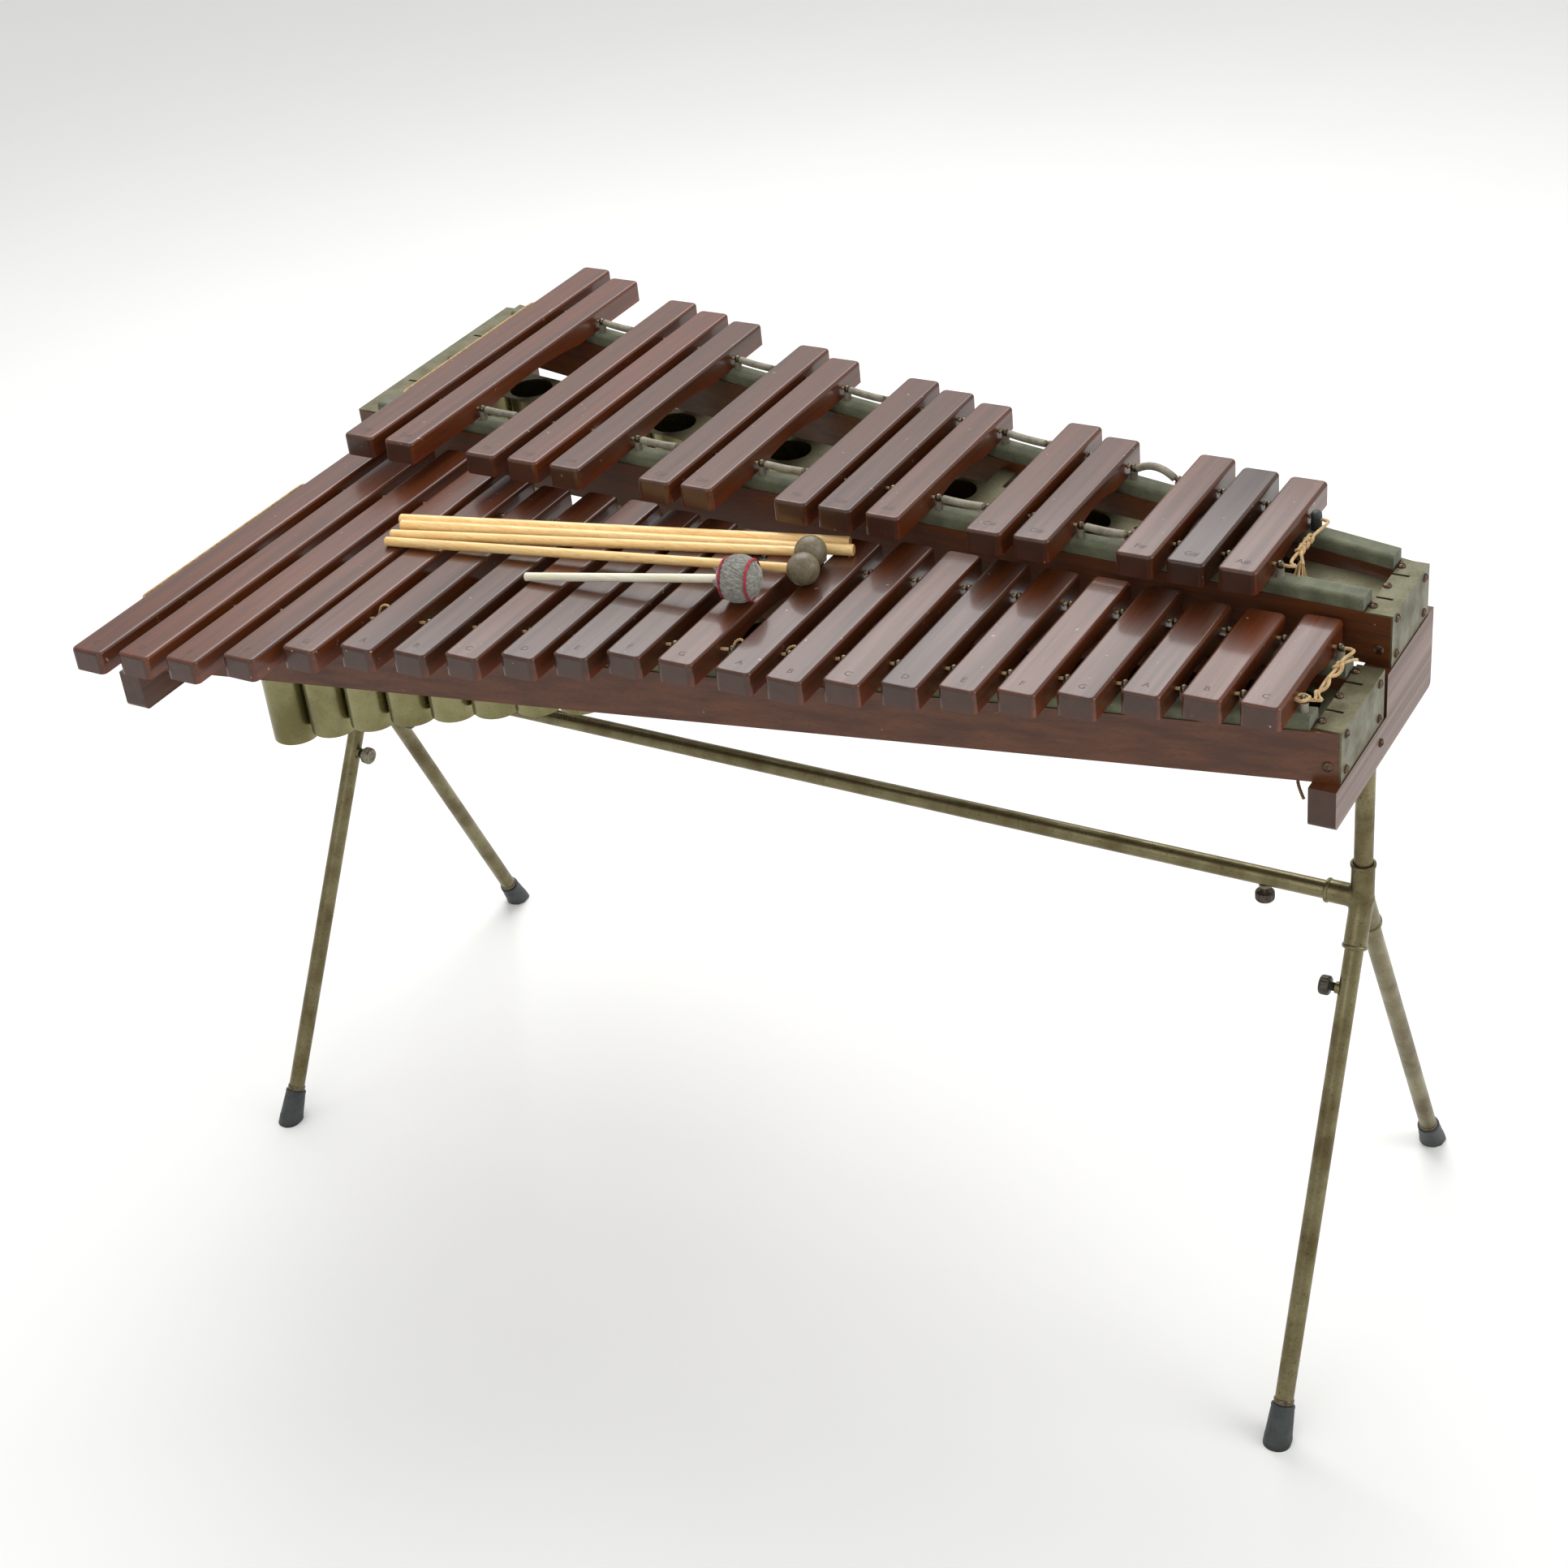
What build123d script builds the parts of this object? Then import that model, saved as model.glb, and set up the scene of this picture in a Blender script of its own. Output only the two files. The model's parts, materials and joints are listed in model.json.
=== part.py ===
from build123d import *
import os
from math import atan2, cos, degrees, hypot, radians, sin, tan

# Concert xylophone, three octaves C to C, on a stand of two castings, a
# telescoping spreader and four telescoping legs.  Millimetres, +Z up, origin on
# the floor under the middle of the whole instrument, low notes towards -X,
# player at -Y.

os.makedirs("parts", exist_ok=True)

# ---- driving dimensions: bars ----
bar_pitch = 48.0  # spacing of the natural bars along the keyboard
bar_width = 35.0
bar_thickness = 22.0
bar_corner = 5.5  # upright corners
bar_edge = 3.2  # top edges
bar_arch_depth = 6.5  # tuning hollow under each bar
bar_arch_share = 0.40  # of the bar's length
natural_lengths = (450, 446, 440, 408, 358, 330, 324, 312, 290, 268, 243,
                   246, 249, 256, 242, 229, 217, 206, 193, 164, 153, 155)
accidental_lengths = (444, 424, 387, 370, 355, 319, 299, 277, 261, 244, 227, 209, 199, 185, 180)
natural_slid = {4: -5.0, 5: -4.0, 9: -4.0, 10: -9.0, 11: -7.0}  # worked along the cord
accidental_slid = {5: 3.0, 7: 3.0, 10: 3.0, 13: -2.0, 14: -4.0}
accidental_lead = 5.5  # upper row sits this far right of half-way between naturals
playing_height = 720.0  # natural bar tops above the floor
row_rise = 41.0  # accidental bar tops above the natural ones

# ---- driving dimensions: keyboard frame ----
# Y of each line under the first and the last natural bar, from the stand's plane.
bar_lines = {"natural_middle": (-180.0, -54.0), "accidental_front": (-25.0, 4.3)}
rail_lines = {"natural_front": (-287.0, -97.0), "natural_rear": (-45.5, -6.0),
              "accidental_front": (94.0, 40.0), "accidental_rear": (335.0, 122.0)}
rail_thickness = 24.0
rail_height = 48.0
felt_width = 21.0
felt_height = 12.0
felt_play = 0.6  # to the end plates
felt_round = 4.0  # long top edges
board_thickness = 24.0
board_depth = 38.0  # from its underside to the natural rails
board_overhang = 12.0  # past the outer rails, front and rear
board_corner = 5.0
end_margin = 47.0  # last bar's middle to the end board's middle
plate_sheet = 1.6
plate_flange = 24.0
plate_recess = 1.0  # inside the end board's outer face
plate_slot_width = 3.0
plate_slot_depth = 15.0
plate_slot_shares = (-0.22, 0.22)  # of the plate's length, from its middle
screw_head = 8.0
screw_dome = 2.6
screw_round = 1.6  # crown edge
screw_shank = 3.4
screw_length = 12.0
screw_drops = (6.0, 40.0)  # of the rail-end screws below the rail tops
screw_inset = 19.5  # of the flange screws from the rail ends
spigot_screw_height = 20.0  # above the board, into the upright
spigot_screw_length = 5.0
bolt_head = 9.5
bolt_length = 18.0
bolt_height = 16.0  # above the rail's underside

# ---- driving dimensions: cord and posts ----
cord_diameter = 3.2
cord_hole = 5.0  # through the bars
cord_play = 0.2  # radial, in the post's eye and the gap sleeves
cord_turn = 5.5  # radius round the ends
knot_diameter = 9.0
post_diameter = 5.6
post_ball = 7.2
post_drop = 7.0  # ball top below the bar tops
post_spigot = 3.8
post_depth = 14.0
sleeve_wall = 0.9  # rubber sleeve on the post
gap_sleeve_diameter = 7.2
gap_sleeve_play = 1.0  # to the posts' balls
tail_bend_share = 0.45  # of the shorter run, taken by each bend
tail_points = ((519.5, -90.0, 638.0), (519.5, -90.0, 627.0), (521.0, -90.8, 617.0), (526.0, -91.6, 607.0))

# ---- driving dimensions: resonators ----
tube_longest = 184.0  # the low C
tube_ratio = 0.9135  # of each tube's length to that of the natural before it
tube_diameter = 47.0
tube_wall = 1.0
bank_sheet = 1.2
bank_width = 58.0
bank_play = 0.6  # to the rails
bank_end_gap = 2.0  # to the end plates
bank_drop = 9.0  # below the rail tops
bank_arm = 18.0
bank_tab = 12.0
vent_diameter = 6.0
vent_spacing = 22.0

# ---- driving dimensions: stand ----
stand_tube = 17.0
stand_tube_wall = 1.5
socket_diameter = 21.0
socket_rim = 2.0
casting_ball = 22.0
running_gap = 0.05  # radial, every sliding tube and turning screw
apex_height = 456.0  # where the tubes of a casting meet
post_socket = 38.0
post_spigot_depth = 28.0
socket_floor = 1.0  # below the upright's end
post_top_depth = 22.0  # into the end board
post_top_diameter = 13.0
spreader_socket = 33.0
leg_socket = 46.0
leg_insert = 27.0  # of the bush that fills each leg socket
socket_rim_length = 4.0
leg_reach = 226.0  # of a foot from the stand's plane, at the floor
lean_left = 4.8  # outward lean of each pair of legs, degrees
lean_right = 1.1
inner_tube_length = 260.0  # fixed tube inside each leg
foot_length = 38.0
foot_top_diameter = 22.0
foot_bottom_diameter = 26.0
foot_cup = 24.0  # how much of the leg the rubber foot swallows
foot_sole = 12.0  # from the leg's end to the floor, along the leg
leg_start_gap = 0.5  # under the socket, with the leg pushed right in
knob_drop = 84.0  # below the apex, along the leg
knob_diameter = 18.0
knob_thickness = 9.5
knob_round = 1.5
knob_neck = 5.0
knob_neck_diameter = 8.0
screw_diameter = 5.0
screw_tip_gap = 0.3  # to the tube it clamps
boss_diameter = 11.0
boss_height = 2.5
spreader_insert = 23.0  # of each tube in its casting
spreader_seam = 353.0  # from the stand's middle
spreader_overlap = 120.0
spreader_knob = 461.0

# ---- driving dimensions: mallets lying on the bars, from the stand's middle ----
mallet_gap = 0.3  # between a mallet and the bars
stick_round = 1.5
head_cap = 4.0  # of the head beyond its stick
rod_diameter = 11.0
rods = {"plain_rod_rear": ((-369.6, -103.6), (65.5, -2.3)),
        "plain_rod_front": ((-361.5, -113.4), (75.9, -14.9))}
rubber_stick = 9.0
rubber_ball = 30.0
rubber_mallets = {"rubber_mallet_rear": ((-361.5, -130.0), (49.0, -46.0)),
                  "rubber_mallet_front": ((-357.5, -144.0), (58.0, -76.5))}
yarn_stick = 8.0
yarn_head = 45.0
yarn_mallet = ((-189.0, -157.0), (20.0, -123.0))

# ---- worked out from the above ----
foot_lean_left = apex_height * tan(radians(lean_left))
foot_lean_right = apex_height * tan(radians(lean_right))
first_left = -bar_pitch * (len(natural_lengths) - 1) / 2
front_end = bar_lines["natural_middle"][0] - natural_lengths[0] / 2
rear_end = bar_lines["accidental_front"][0] + accidental_lengths[0]
stand_x = (foot_lean_left - foot_lean_right) / 2
stand_y = -(front_end + rear_end) / 2
board_x = -first_left + end_margin
rail_half = board_x + board_thickness / 2 - plate_sheet - plate_recess
bar_top = {"natural": playing_height, "accidental": playing_height + row_rise}
rail_top = {row: top - bar_thickness - felt_height for row, top in bar_top.items()}
cord_height = {row: top - bar_thickness / 2 for row, top in bar_top.items()}
bar_gap = bar_pitch - bar_width


def line_y(ends, x):
    """Y of a straight line over the keyboard, at x from the stand's middle."""
    share = (x - first_left) / (-2 * first_left)
    return stand_y + ends[0] + (ends[1] - ends[0]) * share


def line_slope(ends):
    """Rise of a line in Y for each millimetre of X."""
    return (ends[1] - ends[0]) / (-2 * first_left)


def strip(x_low, x_high, low, high):
    """Face in the current sketch between two lines, each a function of x."""
    Polygon((stand_x + x_low, low(x_low)), (stand_x + x_high, low(x_high)),
            (stand_x + x_high, high(x_high)), (stand_x + x_low, high(x_low)), align=None)


def save(built, name):
    built.part.label = name
    export_step(built.part, f"parts/{name}.step")


# Bars, as (middle from the stand's middle, front end, length).
naturals = []
for index, length in enumerate(natural_lengths):
    middle = first_left + index * bar_pitch
    front = line_y(bar_lines["natural_middle"], middle) - length / 2
    naturals.append((middle + natural_slid.get(index, 0.0), front, length))

accidental_steps = [step for step in range(len(natural_lengths) - 1) if step % 7 not in (2, 6)]
accidentals = []
for index, (step, length) in enumerate(zip(accidental_steps, accidental_lengths)):
    middle = first_left + (step + 0.5) * bar_pitch + accidental_lead
    accidentals.append((middle + accidental_slid.get(index, 0.0),
                        line_y(bar_lines["accidental_front"], middle), length))

natural_groups = {"low_cde": (0, 3), "low_fgab": (3, 7), "middle_cde": (7, 10), "middle_fgab": (10, 14),
                  "high_cde": (14, 17), "high_fgabc": (17, 22)}
accidental_groups = {"low_pair": (0, 2), "low_trio": (2, 5), "middle_pair": (5, 7), "middle_trio": (7, 10),
                     "high_pair": (10, 12), "high_trio": (12, 15)}


def post_row(bars):
    """X of the posts either side of neighbouring bars."""
    places = [bars[0][0] - bar_width / 2 - bar_gap / 2]
    places += [(one[0] + two[0]) / 2 for one, two in zip(bars, bars[1:])]
    return places + [bars[-1][0] + bar_width / 2 + bar_gap / 2]


natural_posts = [post_row(naturals)]
accidental_posts = [post_row(accidentals[low:high]) for low, high in accidental_groups.values()]
post_groups = {"natural_front": natural_posts, "natural_rear": natural_posts,
               "accidental_front": accidental_posts, "accidental_rear": accidental_posts}
post_places = {rail: [(x, line_y(rail_lines[rail], x)) for group in groups for x in group]
               for rail, groups in post_groups.items()}


def cord_plane(rail, x):
    """Plane across the cord over one rail, facing along it towards +X."""
    row = rail.split("_")[0]
    return Plane(origin=(stand_x + x, line_y(rail_lines[rail], x), cord_height[row]),
                 x_dir=(0, 0, 1), z_dir=(1, line_slope(rail_lines[rail]), 0))


# Bars: rosewood blocks with a tuning hollow and two cord holes each.
def make_bars(name, bars, row):
    top = bar_top[row]
    bottom = top - bar_thickness
    with BuildPart() as group:
        for middle, front, length in bars:
            hollow = length * bar_arch_share / 2
            centre = front + length / 2
            with BuildSketch(Plane.YZ.offset(stand_x + middle - bar_width / 2)):
                with BuildLine():
                    Polyline((centre - hollow, bottom), (front, bottom), (front, top),
                             (front + length, top), (front + length, bottom), (centre + hollow, bottom))
                    ThreePointArc((centre + hollow, bottom), (centre, bottom + bar_arch_depth),
                                  (centre - hollow, bottom))
                make_face()
            extrude(amount=bar_width)
        fillet(group.edges().filter_by(Axis.Z), bar_corner)
        top_faces = group.faces().filter_by(Axis.Z).group_by(Axis.Z)[-1]
        fillet(top_faces.edges(), bar_edge)
        reach = bars[-1][0] - bars[0][0] + 2 * bar_pitch
        for rail in (f"{row}_front", f"{row}_rear"):
            with BuildSketch(cord_plane(rail, bars[0][0] - bar_pitch)):
                Circle(cord_hole / 2)
            extrude(amount=reach, mode=Mode.SUBTRACT)
    save(group, name)


for name, (low, high) in natural_groups.items():
    make_bars(f"natural_bars_{name}", naturals[low:high], "natural")
for name, (low, high) in accidental_groups.items():
    make_bars(f"accidental_bars_{name}", accidentals[low:high], "accidental")


# Screws: a domed head and a plain shank along a plane's normal, head outwards.
screws = []  # (plane on the face the head sits on, shank length)
bolts = []


def screw_holes(places, diameter):
    for plane, length in places:
        with BuildSketch(plane) as shank:
            Circle(diameter / 2)
        extrude(shank.sketch, amount=-length, mode=Mode.SUBTRACT)


def rail_edge(rail, side):
    """Front (-1) or rear (+1) face line of a rail, as a function of x."""
    return lambda x: line_y(rail_lines[rail], x) + side * rail_thickness / 2


for row in ("natural", "accidental"):
    for side in (-1, 1):
        top = rail_top[row] + plate_sheet
        outer = side * (rail_half + plate_sheet)
        inner = side * (rail_half - screw_inset)
        ends = [line_y(rail_lines[f"{row}_{place}"], side * rail_half) for place in ("front", "rear")]
        for y in ends:
            screws.append((Plane(origin=(stand_x + inner, y, top), z_dir=(0, 0, 1)), screw_length))
            for drop in screw_drops:
                screws.append((Plane(origin=(stand_x + outer, y, rail_top[row] - drop),
                                     z_dir=(side, 0, 0)), screw_length))
        screws.append((Plane(origin=(stand_x + inner, sum(ends) / 2, top), z_dir=(0, 0, 1)), plate_sheet))
        for place, face in (("front", -1), ("rear", 1)):
            rail = f"{row}_{place}"
            normal = Vector(-line_slope(rail_lines[rail]), 1, 0).normalized() * face
            x = side * board_x
            bolts.append((Plane(origin=(stand_x + x, rail_edge(rail, face)(x),
                                        rail_top[row] - rail_height + bolt_height),
                                z_dir=normal), bolt_length))
board_bottom = rail_top["natural"] - rail_height - board_depth
spigot_screws = []
for side in (-1, 1):
    face = (stand_x + side * (board_x + board_thickness / 2), stand_y, board_bottom + spigot_screw_height)
    spigot_screws.append((Plane(origin=face, z_dir=(side, 0, 0)), spigot_screw_length))

# Rails: four straight battens on edge, cut square at the end plates.
for rail, ends in rail_lines.items():
    top = rail_top[rail.split("_")[0]]
    with BuildPart() as batten:
        with BuildSketch(Plane.XY.offset(top - rail_height)):
            strip(-rail_half, rail_half, rail_edge(rail, -1), rail_edge(rail, 1))
        extrude(amount=rail_height)
        with BuildSketch(Plane.XY.offset(top)):
            with Locations(*[(stand_x + x, y) for x, y in post_places[rail]]):
                Circle(post_spigot / 2)
        extrude(amount=-post_depth, mode=Mode.SUBTRACT)
        screw_holes(screws, screw_shank)
        screw_holes(bolts, screw_shank)
    save(batten, f"{rail}_rail")

# Felt strips on the rail tops, punched for the posts.
felt_half = rail_half - plate_flange - felt_play
bank_half = rail_half - bank_end_gap
with BuildPart() as felts:
    for rail, ends in rail_lines.items():
        with BuildSketch(Plane.XY.offset(rail_top[rail.split("_")[0]])):
            strip(-felt_half, felt_half,
                  lambda x: line_y(ends, x) - felt_width / 2, lambda x: line_y(ends, x) + felt_width / 2)
            with Locations(*[(stand_x + x, y) for x, y in post_places[rail]]):
                Circle(post_diameter / 2, mode=Mode.SUBTRACT)
        extrude(amount=felt_height)
    long_edges = felts.edges().filter_by(lambda edge: edge.length > felt_half)
    fillet(long_edges.filter_by(lambda edge: any(abs(edge.center().Z - top - felt_height) < 0.1
                                                 for top in rail_top.values())), felt_round)
save(felts, "felt_strips")

# End plates: bent sheet over the rail ends, the inner edge slotted into tabs.
with BuildPart() as plates:
    for row in ("natural", "accidental"):
        for side in (-1, 1):
            front = rail_edge(f"{row}_front", -1)(side * rail_half)
            rear = rail_edge(f"{row}_rear", 1)(side * rail_half)
            span = rear - front
            middle = (front + rear) / 2
            flange = stand_x + side * (rail_half + plate_sheet - plate_flange / 2)
            slot = flange - side * (plate_flange - plate_slot_depth) / 2
            with BuildSketch(Plane.XY.offset(rail_top[row])):
                with Locations((flange, middle)):
                    Rectangle(plate_flange, span)
                with Locations(*[(slot, middle + share * span) for share in plate_slot_shares]):
                    Rectangle(plate_slot_depth, plate_slot_width, mode=Mode.SUBTRACT)
            extrude(amount=plate_sheet)
            with BuildSketch(Plane.YZ.offset(stand_x + side * (rail_half + plate_sheet / 2))):
                with Locations((middle, rail_top[row] - rail_height / 2)):
                    Rectangle(span, rail_height)
            extrude(amount=plate_sheet / 2, both=True)
    screw_holes(screws, screw_shank)
save(plates, "end_plates")

with BuildPart() as fixings:
    for places, head in ((screws + spigot_screws, screw_head), (bolts, bolt_head)):
        for plane, length in places:
            with BuildSketch(plane):
                Circle(head / 2)
            extrude(amount=screw_dome)
            with BuildSketch(plane):
                Circle(screw_shank / 2)
            extrude(amount=-length)
    heads = fixings.faces().filter_by(GeomType.PLANE)
    crowns = [face for face in heads if face.area > 2 * screw_head and len(face.wires()) == 1]
    fillet([edge for face in crowns for edge in face.edges()], screw_round)
save(fixings, "frame_screws")

# Cord posts: a pin with a ball end and an eye for the cord, in a rubber sleeve.
def make_posts(name, rows):
    with BuildPart() as posts:
        for rail in rows:
            row = rail.split("_")[0]
            ball = bar_top[row] - post_drop - post_ball / 2
            for x, y in post_places[rail]:
                with BuildSketch(Plane.XY.offset(rail_top[row] - post_depth)):
                    with Locations((stand_x + x, y)):
                        Circle(post_spigot / 2)
                extrude(amount=post_depth)
                with BuildSketch(Plane.XY.offset(rail_top[row])):
                    with Locations((stand_x + x, y)):
                        Circle(post_diameter / 2)
                extrude(amount=ball - rail_top[row])
                with Locations((stand_x + x, y, ball)):
                    Sphere(post_ball / 2)
            for x, y in post_places[rail]:
                with BuildSketch(cord_plane(rail, x).offset(-post_ball)):
                    Circle(cord_diameter / 2 + cord_play)
                extrude(amount=2 * post_ball, mode=Mode.SUBTRACT)
    save(posts, name)


make_posts("natural_cord_posts", ("natural_front", "natural_rear"))
make_posts("accidental_cord_posts", ("accidental_front", "accidental_rear"))

with BuildPart() as sleeves:
    for rail, places in post_places.items():
        row = rail.split("_")[0]
        felt_top = rail_top[row] + felt_height
        sleeve_height = cord_height[row] - cord_hole / 2 - felt_top
        with BuildSketch(Plane.XY.offset(felt_top)):
            for x, y in places:
                with Locations((stand_x + x, y)):
                    Circle(post_diameter / 2 + sleeve_wall)
                    Circle(post_diameter / 2, mode=Mode.SUBTRACT)
        extrude(amount=sleeve_height)
save(sleeves, "post_sleeves")

# Cord: one loop for each row, tied in a knot across the treble end.
def make_cord(name, row):
    front, rear = (rail_lines[f"{row}_{place}"] for place in ("front", "rear"))
    places = post_places[f"{row}_front"]
    low = places[0][0] - post_ball / 2 - cord_turn
    high = places[-1][0] + post_ball / 2 + cord_turn
    height = cord_height[row]
    corners = [(stand_x + x, line_y(ends, x), height)
               for ends, x in ((front, high), (front, low), (rear, low), (rear, high))]
    knot_y = (corners[0][1] + corners[3][1]) / 2
    ends = [(stand_x + high, knot_y + side * knot_diameter / 4, height) for side in (-1, 1)]
    with BuildPart() as cord:
        with BuildLine() as route:
            FilletPolyline(ends[0], *corners, ends[1], radius=cord_turn)
        with BuildSketch(Plane(origin=ends[0], z_dir=(0, -1, 0))):
            Circle(cord_diameter / 2)
        sweep(path=route.line)
        with Locations((stand_x + high, knot_y, height)):
            Sphere(knot_diameter / 2)
    save(cord, name)


for row in ("natural", "accidental"):
    make_cord(f"{row}_cord", row)

# Rubber sleeves on the cord where the upper row has no bar.
with BuildPart() as gap_sleeves:
    clear = post_ball / 2 + gap_sleeve_play
    for place in ("accidental_front", "accidental_rear"):
        for one, two in zip(accidental_posts, accidental_posts[1:]):
            length = (two[0] - one[-1] - 2 * clear) * hypot(1, line_slope(rail_lines[place]))
            with BuildSketch(cord_plane(place, one[-1] + clear)):
                Circle(gap_sleeve_diameter / 2)
                Circle(cord_diameter / 2 + cord_play, mode=Mode.SUBTRACT)
            extrude(amount=length)
save(gap_sleeves, "cord_sleeves")

# Short end of cord hanging from the underside of the natural front rail.  Each
# bend takes its share of the shorter of its two runs.
points = [Vector(stand_x + x, y, z) for x, y, z in tail_points]
tail_runs = [two - one for one, two in zip(points, points[1:])]
tail_radii = [tail_bend_share * min(one.length, two.length) / tan(radians(one.get_angle(two) / 2))
              for one, two in zip(tail_runs, tail_runs[1:])]
print("cord_tail bend radii", [round(radius, 1) for radius in tail_radii], "mm")
with BuildPart() as tail:
    with BuildLine() as route:
        FilletPolyline(*points, radius=tail_radii)
    with BuildSketch(Plane(origin=route.line @ 0, z_dir=route.line % 0)):
        Circle(cord_diameter / 2)
    sweep(path=route.line)
save(tail, "cord_tail")

# Resonators: one capped tube under each bar, hung from a sheet between the rails.
for row, bars in (("natural", naturals), ("accidental", accidentals)):
    bank_top = rail_top[row] - bank_drop
    front, rear = (rail_lines[f"{row}_{place}"] for place in ("front", "rear"))
    straight = first_left if row == "natural" else first_left + bar_pitch / 2 + accidental_lead
    steps = range(len(naturals)) if row == "natural" else accidental_steps
    tube_x = [straight + step * bar_pitch for step in steps]
    tubes = [(stand_x + x, (line_y(front, x) + line_y(rear, x)) / 2) for x in tube_x]
    with BuildPart() as bank:
        for (x, y), place in zip(tubes, tube_x):
            depth = tube_longest * tube_ratio ** ((place - first_left) / bar_pitch)
            with BuildSketch(Plane.XY.offset(bank_top - bank_sheet)):
                with Locations((x, y)):
                    Circle(tube_diameter / 2)
            extrude(amount=-depth)
            with BuildSketch(Plane.XY.offset(bank_top - bank_sheet)):
                with Locations((x, y)):
                    Circle(tube_diameter / 2 - tube_wall)
            extrude(amount=tube_wall - depth, mode=Mode.SUBTRACT)
    save(bank, f"{row}_resonators")

    # Sheet strip with a mouth over each tube, on arms that reach both rails.
    half = bank_width / 2
    ends = (-bank_half, bank_half)
    third = (tube_x[-1] - tube_x[0]) / 3
    arms = [ends[0] + bank_arm / 2, tube_x[0] + third, tube_x[0] + 2 * third, ends[1] - bank_arm / 2]
    front_face, rear_face = rail_edge(f"{row}_front", 1), rail_edge(f"{row}_rear", -1)
    with BuildPart() as sheet:
        with BuildSketch(Plane.XY.offset(bank_top)):
            strip(*ends, lambda x: max((line_y(front, x) + line_y(rear, x)) / 2 - half, front_face(x) + bank_play),
                  lambda x: min((line_y(front, x) + line_y(rear, x)) / 2 + half, rear_face(x) - bank_play))
            for arm in arms:
                strip(arm - bank_arm / 2, arm + bank_arm / 2, front_face, rear_face)
            with Locations(*tubes):
                Circle(tube_diameter / 2 - tube_wall, mode=Mode.SUBTRACT)
            for one, two in zip(tube_x, tube_x[1:]):
                if two - one > 1.5 * bar_pitch:
                    x = (one + two) / 2
                    y = (line_y(front, x) + line_y(rear, x)) / 2
                    with Locations(*[(stand_x + x, y + side * vent_spacing / 2) for side in (-1, 1)]):
                        Circle(vent_diameter / 2, mode=Mode.SUBTRACT)
        extrude(amount=-bank_sheet)
        with BuildSketch(Plane.XY.offset(bank_top)):
            for arm in arms:
                sides = (arm - bank_arm / 2, arm + bank_arm / 2)
                strip(*sides, front_face, lambda x: front_face(x) + bank_sheet)
                strip(*sides, lambda x: rear_face(x) - bank_sheet, rear_face)
        extrude(amount=-bank_tab)
    save(sheet, f"{row}_resonator_plate")

# End boards: stepped up behind to carry the upper row, drilled for the posts.
for name, side in (("left", -1), ("right", 1)):
    x = side * board_x
    front = rail_edge("natural_front", -1)(x) - board_overhang
    rear = rail_edge("accidental_rear", 1)(x) + board_overhang
    step_y = rail_edge("accidental_front", -1)(x) - board_overhang
    low = rail_top["natural"] - rail_height
    high = rail_top["accidental"] - rail_height
    with BuildPart() as board:
        with BuildSketch(Plane.YZ.offset(stand_x + x - board_thickness / 2)):
            with BuildLine():
                Polyline((front, board_bottom), (front, low), (step_y, low), (step_y, high),
                         (rear, high), (rear, board_bottom), close=True)
            make_face()
        extrude(amount=board_thickness)
        corners = board.edges().filter_by(Axis.X).group_by(Axis.Z)[0]
        fillet(corners, board_corner)
        with BuildSketch(Plane.XY.offset(board_bottom)):
            with Locations((stand_x + x, stand_y)):
                Circle(post_top_diameter / 2)
        extrude(amount=post_top_depth, mode=Mode.SUBTRACT)
        screw_holes(spigot_screws, screw_shank)
    save(board, f"end_board_{name}")

    # Upright post: a turned top in the board, its foot free to lift out of the casting.
    with BuildPart() as post:
        with BuildSketch(Plane.XY.offset(apex_height + post_socket - post_spigot_depth)):
            with Locations((stand_x + x, stand_y)):
                Circle(stand_tube / 2)
        extrude(amount=board_bottom - apex_height - post_socket + post_spigot_depth)
        with BuildSketch(Plane.XY.offset(board_bottom)):
            with Locations((stand_x + x, stand_y)):
                Circle(post_top_diameter / 2)
        extrude(amount=post_top_depth)
    save(post, f"upright_{name}")


# Stand castings: sockets for the upright, the spreader and two legs.
def apex(side):
    return Vector(stand_x + side * board_x, stand_y, apex_height)


def leg_direction(side, end):
    lean = foot_lean_left if side < 0 else foot_lean_right
    return Vector(side * lean, end * leg_reach, -apex_height).normalized()


def across(origin, direction):
    return Plane(origin=origin, z_dir=direction)


leg_names = {"left_front": (-1, -1), "left_rear": (-1, 1), "right_front": (1, -1), "right_rear": (1, 1)}
for name, side in (("left", -1), ("right", 1)):
    arms = [(Vector(0, 0, 1), post_socket, post_spigot_depth + socket_floor),
            (Vector(-side, 0, 0), spreader_socket, spreader_insert),
            (leg_direction(side, -1), leg_socket, leg_insert),
            (leg_direction(side, 1), leg_socket, leg_insert)]
    with BuildPart() as casting:
        with Locations(apex(side)):
            Sphere(casting_ball / 2)
        for direction, length, depth in arms:
            with BuildSketch(across(apex(side), direction)):
                Circle(socket_diameter / 2)
            extrude(amount=length)
            with BuildSketch(across(apex(side) + direction * (length - socket_rim_length), direction)):
                Circle(socket_diameter / 2 + socket_rim / 2)
            extrude(amount=socket_rim_length)
        for direction, length, depth in arms:
            with BuildSketch(across(apex(side) + direction * (length - depth), direction)):
                Circle(stand_tube / 2 + running_gap)
            extrude(amount=depth, mode=Mode.SUBTRACT)
    save(casting, f"casting_{name}")

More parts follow.
